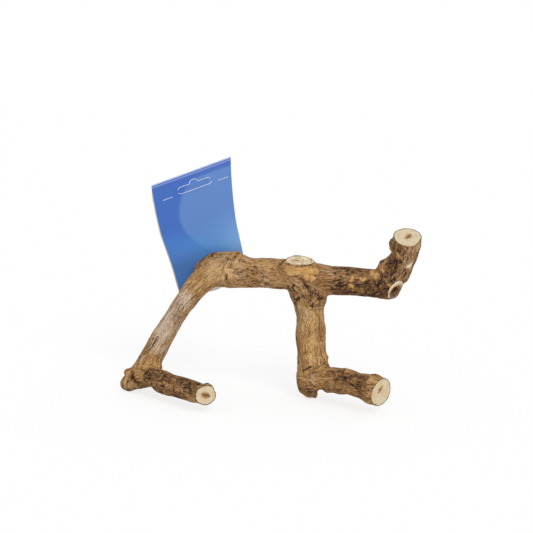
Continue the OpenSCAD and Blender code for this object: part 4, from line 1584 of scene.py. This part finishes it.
    def ink(
        self, bm: bmesh.types.BMesh, vert: bmesh.types.BMVert, cut: SawCut, number: int,
        spread: Vector, edge: bool,
    ) -> None:
        """Write on a point of a sawn end what the sawn wood's material reads.

        Args:
            bm: The branch.
            vert: The point.
            cut: The end.
            number: The end's number, which seeds its pattern.
            spread: The point's place on the end, in millimetres.
            edge: Whether the point is on the end's edge.
        """
        layers = bm.verts.layers
        vert[layers.float_vector["saw"]] = Vector((spread.x, spread.y, SAWN_PATTERN_GAP * number))
        vert[layers.float_vector["cut"]] = Vector((cut.crack, cut.stain, cut.ring))
        vert[layers.float["rim"]] = 0.0 if edge else 1.0

    def saw_off(self, bm: bmesh.types.BMesh, cut: SawCut, number: int) -> int:
        """Saw an end off flat, and inset its rim.

        Args:
            bm: The branch.
            cut: The end.
            number: Its number, which seeds its pattern.

        Returns:
            How many faces the end has.
        """
        place, faces, side, up = cut.plane()
        near = {
            v
            for v in bm.verts
            if (v.co - place).dot(faces) > -self.saw_reach * MM
            and (v.co - place - faces * (v.co - place).dot(faces)).length < cut.span * MM
            and (v.co - place).length < (cut.span + 4) * MM
        }
        geometry = list(near)
        geometry += {e for v in near for e in v.link_edges if all(w in near for w in e.verts)}
        geometry += {f for v in near for f in v.link_faces if all(w in near for w in f.verts)}
        made = bmesh.ops.bisect_plane(bm, geom=geometry, plane_co=place, plane_no=faces, clear_outer=True)
        rim = [e for e in made["geom_cut"] if isinstance(e, bmesh.types.BMEdge)]
        filled = bmesh.ops.triangle_fill(bm, edges=rim, use_beauty=True, use_dissolve=False, normal=faces)
        lid = [f for f in filled["geom"] if isinstance(f, bmesh.types.BMFace)]
        for face in lid:
            face.normal_update()
            if face.normal.dot(faces) < 0:
                face.normal_flip()
        ring = bmesh.ops.inset_region(
            bm, faces=lid, thickness=self.rim_width * MM, use_boundary=True, use_even_offset=True
        )
        outer = {v for e in rim for v in e.verts}
        for face in set(lid) | set(ring["faces"]):
            face.material_index = 1
            face.smooth = False
            for vert in face.verts:
                flat = (vert.co - place) * TO_MM - Vector(cut.pith)
                self.ink(bm, vert, cut, number, Vector((flat.dot(side), flat.dot(up))), vert in outer)
        for edge in rim:
            edge.smooth = False
        return len(lid) + len(ring["faces"])

    def flatten(
        self, bm: bmesh.types.BMesh, cut: SawCut
    ) -> tuple[dict[bmesh.types.BMVert, Vector], set[bmesh.types.BMVert]]:
        """Move what stands over an end's plane down to it.

        Args:
            bm: The branch.
            cut: The end.

        Returns:
            The places of the end's points on the plane, in millimetres, and which of them
            are in its hollow.
        """
        place, faces, side, up = cut.plane()
        inner, outer = cut.span - 0.7, cut.span + 0.6
        spreads = {}
        recess = set()
        for vert in bm.verts:
            flat = (vert.co - place) * TO_MM
            height = flat.dot(faces)
            spread = Vector((flat.dot(side), flat.dot(up)))
            if cut.hollow and -6 < height < -0.04 and spread.length < 0.72 * cut.span:
                recess.add(vert)
            elif spread.length > outer or height < -0.9 or height > 5:
                continue
            spreads[vert] = spread
            if height > 0:
                held = 1 - eased(inner, outer, spread.length)
                vert.co -= faces * height * held * MM
        return spreads, recess

    def press(self, bm: bmesh.types.BMesh, cut: SawCut, number: int) -> int:
        """Flatten an end that grows together with its neighbour, and sink its rotten heart.

        Args:
            bm: The branch.
            cut: The end.
            number: Its number, which seeds its pattern.

        Returns:
            How many faces the end has.
        """
        place, faces, side, up = cut.plane()
        spreads, recess = self.flatten(bm, cut)
        bmesh.ops.remove_doubles(bm, verts=list(spreads), dist=self.pressed_merge * MM)
        level = {v for v in bm.verts if v in spreads and abs((v.co - place).dot(faces)) < 0.04 * MM}
        lid = set()
        for face in bm.faces:
            if all(v in recess or v in level for v in face.verts):
                face.normal_update()
                if face.normal.dot(faces) > 0.9 or any(v in recess for v in face.verts):
                    lid.add(face)
                    face.material_index = 1
        inside = {v for f in lid for v in f.verts}
        rim = {v for v in inside if any(f not in lid for f in v.link_faces)}
        wide = max((spreads[v].length for v in inside), default=1.0)
        offset = (Vector(cut.hollow or cut.place) * MM - place) * TO_MM + Vector(cut.pith)
        heart = Vector((offset.dot(side), offset.dot(up)))
        for vert in inside:
            spread = spreads[vert]
            share = min(1.0, spread.length / wide)
            warped = (spread - heart * (1 - share)) * (0.5 if vert in recess else 1.0)
            self.ink(bm, vert, cut, number, warped, vert in rim)
            if cut.hollow and vert not in rim:
                sunk = self.rot_depth * (1 - eased(0.12, 0.5, warped.length / wide))
                sunk += 0.25 * math.sin(warped.length * 3.1) * (1 - share)
                vert.co -= faces * sunk * MM
        for edge in {e for v in rim for e in v.link_edges if all(w in rim for w in e.verts)}:
            edge.smooth = False
        return len(lid)


def fresh(name: str, bm: bmesh.types.BMesh, materials: tuple[bpy.types.Material, ...]) -> bpy.types.Object:
    """Make a piece of a finished bmesh, and free the bmesh.

    Args:
        name: The piece's name.
        bm: Its shape.
        materials: Its materials, in the order of the faces' numbers.

    Returns:
        The piece, in the scene.
    """
    mesh = bpy.data.meshes.new(name)
    bm.to_mesh(mesh)
    bm.free()
    for material in materials:
        mesh.materials.append(material)
    piece = bpy.data.objects.new(name, mesh)
    bpy.context.scene.collection.objects.link(piece)
    return piece


def remeshed(node: str, size: float, bm: bmesh.types.BMesh | None = None) -> bpy.types.Mesh:
    """Cover a node's solid with even small faces.

    Args:
        node: The node's name.
        size: The faces' size in metres.
        bm: The solid where it was changed first; it is freed.

    Returns:
        The new mesh.
    """
    if bm is None:
        bm = bmesh.new()
        bm.from_mesh(bpy.data.objects[node].data)
        bmesh.ops.remove_doubles(bm, verts=bm.verts, dist=MERGE)
    carrier = fresh(node + "_blank", bm, ())
    even = carrier.modifiers.new("even_faces", "REMESH")
    even.mode = "VOXEL"
    even.voxel_size = size
    bpy.context.view_layer.update()
    ready = carrier.evaluated_get(bpy.context.evaluated_depsgraph_get())
    mesh = bpy.data.meshes.new_from_object(ready)
    bpy.data.objects.remove(carrier)
    return mesh


@dataclass
class HangerBolt:
    """The threaded bolt: a rolled thread spun along the shank, and a plain lead at its free end."""

    node: str = "hanger_bolt"
    body: str = "perch"
    pitch: float = 1.25
    crest: float = 4.0
    root: float = 3.3
    start: float = -30.0
    thread_end: float = 35.0
    lead: float = 3.6
    end: float = 40.0
    point: float = 0.7
    steps: int = 36
    sharp: float = 38.0

    def build(self, zinc: bpy.types.Material) -> bpy.types.Object:
        """Make the bolt.

        Args:
            zinc: Its finish.

        Returns:
            The finished piece.
        """
        bm = bmesh.new()
        self.roll(bm)
        self.close(bm)
        bmesh.ops.recalc_face_normals(bm, faces=bm.faces)
        groove = bm.verts.layers.float.new("groove")
        for vert in bm.verts:
            reach = math.hypot(vert.co.x, vert.co.z) * TO_MM
            in_thread = vert.co.y * TO_MM < self.thread_end - self.point
            vert[groove] = min(1.0, (self.crest - reach) / (self.crest - self.root)) if in_thread else 0.15
        for face in bm.faces:
            face.smooth = True
        for edge in bm.edges:
            edge.smooth = len(edge.link_faces) == 2 and edge.calc_face_angle() < math.radians(self.sharp)
        piece = fresh("rolled_thread_bolt", bm, (zinc,))
        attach(piece, self.body)
        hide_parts(self.node)
        return piece

    def roll(self, bm: bmesh.types.BMesh) -> None:
        """Spin one turn's profile along the shank and trim both ends square."""
        turns = math.ceil((self.thread_end - self.start) / self.pitch) + 2
        rise_of_turn = self.pitch * MM
        rise = (0.0, 0.12, 0.44, 0.50, 0.62, 0.68, 1.0)
        root, crest = self.root, self.crest
        reach = (root, root + 0.02, crest - 0.04, crest, crest, crest - 0.04, root)
        first = self.start - self.pitch
        row = [bm.verts.new((r * MM, (first + h * self.pitch) * MM, 0)) for r, h in zip(reach, rise)]
        line = [bm.edges.new(pair) for pair in zip(row[:-1], row[1:])]
        bmesh.ops.spin(
            bm,
            geom=row + line,
            cent=(0, 0, 0),
            axis=(0, 1, 0),
            dvec=(0, rise_of_turn / self.steps, 0),
            angle=math.tau,
            steps=self.steps,
            use_merge=False,
        )
        one = list(bm.verts) + list(bm.edges) + list(bm.faces)
        for turn in range(1, turns):
            copy = bmesh.ops.duplicate(bm, geom=one)["geom"]
            moved = [v for v in copy if isinstance(v, bmesh.types.BMVert)]
            bmesh.ops.translate(bm, verts=moved, vec=(0, turn * rise_of_turn, 0))
        bmesh.ops.remove_doubles(bm, verts=bm.verts, dist=2 * MERGE)
        for height, way in ((self.start, -1), (self.thread_end - self.point, 1)):
            bmesh.ops.bisect_plane(
                bm,
                geom=list(bm.verts) + list(bm.edges) + list(bm.faces),
                plane_co=(0, height * MM, 0),
                plane_no=(0, way, 0),
                clear_outer=True,
            )

    def close(self, bm: bmesh.types.BMesh) -> None:
        """Turn the plain lead on the free end, and close both ends."""
        tip = ((self.start, self.root - 0.6),)
        lead = (
            (self.thread_end, self.lead),
            (self.end - self.point, self.lead),
            (self.end, self.lead - self.point),
        )
        stages = ((self.start, tip), (self.thread_end - self.point, lead))
        for height, rows in stages:
            ends = (e for e in bm.edges if e.is_boundary)
            loop = [e for e in ends if all(abs(v.co.y - height * MM) < MERGE for v in e.verts)]
            for place, radius in rows:
                grown = bmesh.ops.extrude_edge_only(bm, edges=loop)["geom"]
                loop = [e for e in grown if isinstance(e, bmesh.types.BMEdge)]
                for vert in {v for e in loop for v in e.verts}:
                    flat = Vector((vert.co.x, 0, vert.co.z)).normalized() * radius * MM
                    vert.co = (flat.x, place * MM, flat.z)
            bmesh.ops.triangle_fill(bm, edges=loop, use_beauty=True)


@dataclass
class PennyWasher:
    """A punched penny washer: rolled over at one face's edges, sharp at the other's."""

    node: str
    body: str
    face_y: float
    bore: float = 4.2
    reach: float = 15.0
    thick: float = 1.5
    roll: float = 0.4
    burr: float = 0.08
    steps: int = 120
    sharp: float = 40.0

    def build(self, zinc: bpy.types.Material) -> bpy.types.Object:
        """Make the washer.

        Args:
            zinc: Its finish.

        Returns:
            The finished piece.
        """
        bm = bmesh.new()
        row = [bm.verts.new((r * MM, (self.face_y + h) * MM, 0)) for r, h in self.outline()]
        line = [bm.edges.new((row[k - 1], row[k])) for k in range(len(row))]
        bmesh.ops.spin(
            bm,
            geom=row + line,
            cent=(0, 0, 0),
            axis=(0, 1, 0),
            angle=math.tau,
            steps=self.steps,
            use_merge=True,
        )
        bmesh.ops.remove_doubles(bm, verts=bm.verts, dist=MERGE)
        bmesh.ops.recalc_face_normals(bm, faces=bm.faces)
        groove = bm.verts.layers.float.new("groove")
        for vert in bm.verts:
            reach = math.hypot(vert.co.x, vert.co.z) * TO_MM
            vert[groove] = 0.55 if reach < self.bore + 0.5 else 0.0
        for face in bm.faces:
            face.smooth = True
        for edge in bm.edges:
            edge.smooth = edge.calc_face_angle() < math.radians(self.sharp)
        piece = fresh("punched_" + self.node, bm, (zinc,))
        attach(piece, self.body)
        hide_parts(self.node)
        return piece

    def outline(self) -> list[tuple[float, float]]:
        """Return the section as reach and height pairs, round at the rolled edges."""
        burred = self.thick - self.burr
        rows = [(self.bore, self.roll), (self.bore, burred), (self.bore + self.burr, self.thick)]
        rows += [(self.reach - 3.0, self.thick), (self.reach - self.burr, self.thick), (self.reach, burred)]
        for step in range(6):
            turn = math.radians(18 * step)
            rows.append((self.reach - self.roll * (1 - math.cos(turn)), self.roll * (1 - math.sin(turn))))
        for step in range(5):
            turn = math.radians(18 * step)
            rows.append((self.bore + self.roll * (1 - math.sin(turn)), self.roll * (1 - math.cos(turn))))
        return rows


@dataclass
class WingNut:
    """The cast wing nut, its edges softened as a casting's are."""

    node: str = "wing_nut"
    body: str = "clamp_nut"
    grain_size: float = 0.00033
    held: float = 4.75
    seat: float = 0.4
    smoothing: int = 9

    def build(self, zinc: bpy.types.Material) -> bpy.types.Object:
        """Make the nut.

        Args:
            zinc: Its finish.

        Returns:
            The finished piece.
        """
        mesh = remeshed(self.node, self.grain_size)
        bm = bmesh.new()
        bm.from_mesh(mesh)
        bpy.data.meshes.remove(mesh)
        groove = bm.verts.layers.float.new("groove")
        foot = min(v.co.y for v in bm.verts)
        free = []
        for vert in bm.verts:
            reach = math.hypot(vert.co.x, vert.co.z) * TO_MM
            vert[groove] = 1.0 if reach < self.held - 0.3 else 0.0
            if reach > self.held and vert.co.y - foot > self.seat * MM:
                free.append(vert)
        for _ in range(self.smoothing):
            bmesh.ops.smooth_vert(
                bm, verts=free, factor=0.5, use_axis_x=True, use_axis_y=True, use_axis_z=True
            )
        for face in bm.faces:
            face.smooth = True
        piece = fresh("cast_wing_nut", bm, (zinc,))
        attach(piece, self.body)
        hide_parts(self.node)
        return piece


@dataclass
class HangCard:
    """The folded hang card: two printed leaves, bowed a little and worn along the fold."""

    node: str = "hang_card"
    body: str = "card"
    lean: float = 20.0
    slices: float = 2.5
    middle_y: float = 0.625
    leaf: float = 0.4
    fold: float = 70.5
    foot: float = -11.5
    left: tuple[float, float] = (-16.66, -25.0)
    right: tuple[float, float] = (42.84, 24.4)
    slot_place: tuple[float, float] = (13.09, 60.5)
    held: float = 16.0
    bow: float = 2.4
    fan: float = 0.9
    creep: float = 0.85
    slouch: float = 2.3
    curl: float = 0.9
    ripple: float = 0.35
    slot_half: float = 8.0
    tab_round: float = 3.2
    tab_peak: float = 4.3
    tab_rise: float = 1.6
    sharp: float = 40.0

    def build(self) -> bpy.types.Object:
        """Make the card.

        Returns:
            The finished piece.
        """
        bm = bmesh.new()
        bm.from_mesh(bpy.data.objects[self.node].data)
        bmesh.ops.remove_doubles(bm, verts=bm.verts, dist=MERGE)
        self.slice(bm)
        for face in bm.faces:
            face.material_index = 0 if self.printed(face) else 1
            face.smooth = True
        for edge in bm.edges:
            edge.smooth = edge.calc_face_angle(0.0) < math.radians(self.sharp)
        self.note(bm)
        self.bend(bm)
        piece = fresh("folded_card", bm, (PrintFinish().material(), BoardFinish().material()))
        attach(piece, self.body)
        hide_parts(self.node)
        return piece

    def axes(self) -> tuple[Vector, Vector]:
        """Return the directions across and up the card."""
        turn = math.radians(self.lean)
        return Vector((math.cos(turn), 0, math.sin(turn))), Vector((-math.sin(turn), 0, math.cos(turn)))

    def slice(self, bm: bmesh.types.BMesh) -> None:
        """Cut the leaves into strips both ways, so that they can bend."""
        across, up = self.axes()
        for way, low, high in ((across, self.left[1], self.right[0]), (up, self.foot, self.fold)):
            for step in range(1, int((high - low) / self.slices)):
                bmesh.ops.bisect_plane(
                    bm,
                    geom=list(bm.verts) + list(bm.edges) + list(bm.faces),
                    dist=1e-7,
                    plane_co=way * (low + step * self.slices) * MM,
                    plane_no=way,
                )

    def printed(self, face: bmesh.types.BMFace) -> bool:
        """Tell whether a face is one of the printed outsides."""
        middle = face.calc_center_median() * TO_MM
        away = (middle.y - self.middle_y) / (self.leaf + 0.125)
        over_fold = middle.dot(self.axes()[1]) > self.fold + 0.02
        return over_fold or (abs(face.normal.y) > 0.9 and away * face.normal.y > 0.9)

    def note(self, bm: bmesh.types.BMesh) -> None:
        """Write each point's place on the sheet, its distance from the edges, and whether it is the tab."""
        across, up = self.axes()
        sheet = bm.verts.layers.float_vector.new("sheet")
        trim = bm.verts.layers.float_vector.new("trim")
        slot_u, slot_w = self.slot_place
        for vert in bm.verts:
            u, w = vert.co.dot(across) * TO_MM, vert.co.dot(up) * TO_MM
            share = (self.fold - w) / (self.fold - self.foot)
            left_gap = u - (self.left[0] + share * (self.left[1] - self.left[0]))
            right_gap = (self.right[0] + share * (self.right[1] - self.right[0])) - u
            past_slot = max(abs(u - slot_u) - self.slot_half, 0.0)
            in_slot = math.hypot(past_slot, w - slot_w) < self.tab_round
            in_peak = math.hypot(u - slot_u, w - slot_w - self.tab_rise) < self.tab_peak
            vert[sheet] = Vector((u, w, 1.0 if vert.co.y * TO_MM > self.middle_y else 0.0))
            vert[trim] = Vector((min(left_gap, right_gap), w - self.foot, 1.0 if in_slot or in_peak else 0.0))

    def bend(self, bm: bmesh.types.BMesh) -> None:
        """Bow the leaves out and aside, curl their edges and let the back leaf creep sideways."""
        across, up = self.axes()
        waist = 32.0
        for vert in bm.verts:
            u, w = vert.co.dot(across) * TO_MM, vert.co.dot(up) * TO_MM
            back = vert.co.y * TO_MM > self.middle_y
            loose = eased(self.held, self.held + 28, math.hypot(u, w))
            out = -self.bow * loose * (max(w, 0.0) / self.fold) ** 2
            out += self.curl * loose * ((u - 13.0) / 30.0) ** 2
            out += self.ripple * loose * noise.noise(Vector((u / 24.0, w / 24.0, 3.7)))
            out += 0.12 * max(w - (self.fold - 5.2), 0.0) * loose
            aside = -self.slouch * loose * max(1.0 - ((w - waist) / (self.fold - waist)) ** 2, 0.0)
            if back:
                out += self.fan * loose * eased(30.0, self.foot, w)
                aside -= self.creep * eased(-3.0, -13.0, u) * eased(self.fold - 0.5, self.fold - 9.0, w)
            vert.co += Vector((0, out * MM, 0)) + across * aside * MM


@dataclass
class Studio:
    """The plain white table, soft light and camera."""

    camera_place: Point = (0.041238, -0.926114, 0.141634)
    camera_aim: Point = (0.041238, -0.036, 0.008615)
    lens: float = 89.0
    sky: float = 0.62
    key: float = 1.4
    key_turn: tuple[float, float] = (53.0, 20.0)
    key_spread: float = 28.0
    fill: float = 0.45
    fill_turn: tuple[float, float] = (84.0, 8.0)
    fill_spread: float = 50.0
    floor_half: float = 6.0
    floor_glow: float = 0.78

    def build(self, floor_height: float) -> None:
        """Set up the floor, light and camera.

        Args:
            floor_height: The height of the table top in metres.
        """
        self.lay_floor(floor_height)
        self.hang_lights()
        self.set_camera()

    def lay_floor(self, height: float) -> None:
        """Lay a white table top that keeps the perch's shadow.

        Args:
            height: Its height in metres.
        """
        bm = bmesh.new()
        bmesh.ops.create_grid(bm, x_segments=2, y_segments=2, size=self.floor_half)
        bmesh.ops.translate(bm, verts=bm.verts, vec=(0, 0, height))
        mesh = bpy.data.meshes.new("table_top")
        bm.to_mesh(mesh)
        bm.free()
        floor = bpy.data.objects.new("table_top", mesh)
        bpy.context.scene.collection.objects.link(floor)
        mix = Recipe("white_table")
        grit = mix.grit(mix.place(), 30.0, 2)
        shades = mix.ramp(grit, ((0.3, (0.86, 0.86, 0.86, 1)), (0.7, (0.88, 0.88, 0.88, 1))))
        lit = mix.add("BsdfDiffuse", {"Color": shades})
        pale = mix.add("BsdfDiffuse", {"Color": (0.24, 0.24, 0.24, 1)})
        glow = mix.add("Emission", {"Color": (1, 1, 1, 1), "Strength": self.floor_glow})
        shown = mix.add("AddShader", {0: pale.outputs[0], 1: glow.outputs[0]})
        camera = mix.add("LightPath").outputs["Is Camera Ray"]
        table = mix.add("MixShader", {0: camera, 1: lit.outputs[0], 2: shown.outputs[0]})
        mix.add("OutputMaterial", {"Surface": table.outputs[0]})
        mesh.materials.append(mix.material)

    def hang_lights(self) -> None:
        """Light the perch with a bright dome, one broad lamp and a weaker one from the front."""
        world = bpy.data.worlds.new("white_room")
        bpy.context.scene.world = world
        world.use_nodes = True
        sky = Wiring(world.node_tree)
        rays = sky.add("LightPath").outputs
        shiny = sky.most(rays["Is Glossy Ray"], rays["Is Transmission Ray"])
        seen = sky.most(rays["Is Camera Ray"], shiny)
        level = sky.add("MapRange", {"Value": seen, "To Min": self.sky, "To Max": 1.0})
        back = sky.add("Background", {"Color": (1, 1, 1, 1), "Strength": level.outputs[0]})
        sky.add("OutputWorld", {"Surface": back.outputs[0]})
        lamps = (
            ("broad_lamp", self.key, self.key_turn, self.key_spread),
            ("front_fill", self.fill, self.fill_turn, self.fill_spread),
        )
        for name, energy, turn, spread in lamps:
            lamp = bpy.data.lights.new(name, "SUN")
            lamp.energy = energy
            lamp.angle = math.radians(spread)
            holder = bpy.data.objects.new(name, lamp)
            holder.rotation_euler = (math.radians(turn[0]), 0, math.radians(turn[1]))
            bpy.context.scene.collection.objects.link(holder)

    def set_camera(self) -> None:
        """Stand the camera where the photograph was taken from."""
        data = bpy.data.cameras.new("front_view")
        data.lens = self.lens
        data.sensor_width = 36.0
        data.clip_end = 30.0
        camera = bpy.data.objects.new("front_view", data)
        camera.location = self.camera_place
        aim = Vector(self.camera_aim) - Vector(self.camera_place)
        camera.rotation_euler = aim.to_track_quat("-Z", "Y").to_euler()
        bpy.context.scene.collection.objects.link(camera)
        bpy.context.scene.camera = camera


def main() -> None:
    """Build the perch's looks, piece by piece."""
    logging.basicConfig(level=logging.INFO, format="%(message)s")
    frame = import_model()
    LOG.info("frame: %d nodes", len(frame["nodes"]))
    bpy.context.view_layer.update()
    bpy.context.scene.view_settings.view_transform = "Standard"
    branch = Branch().build()
    LOG.info("branch: %d faces", len(branch.data.polygons))
    zinc = ZincFinish().material()
    pieces = [
        HangerBolt().build(zinc),
        PennyWasher("inner_washer", "perch", 1.25).build(zinc),
        PennyWasher("outer_washer", "clamp_washer", 2.85).build(zinc),
        WingNut().build(zinc),
        HangCard().build(),
    ]
    for piece in pieces:
        LOG.info("%s: %d faces", piece.name, len(piece.data.polygons))
    Studio().build(min(v.co.z for v in branch.data.vertices))
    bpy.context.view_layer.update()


if __name__ == "__main__":
    main()
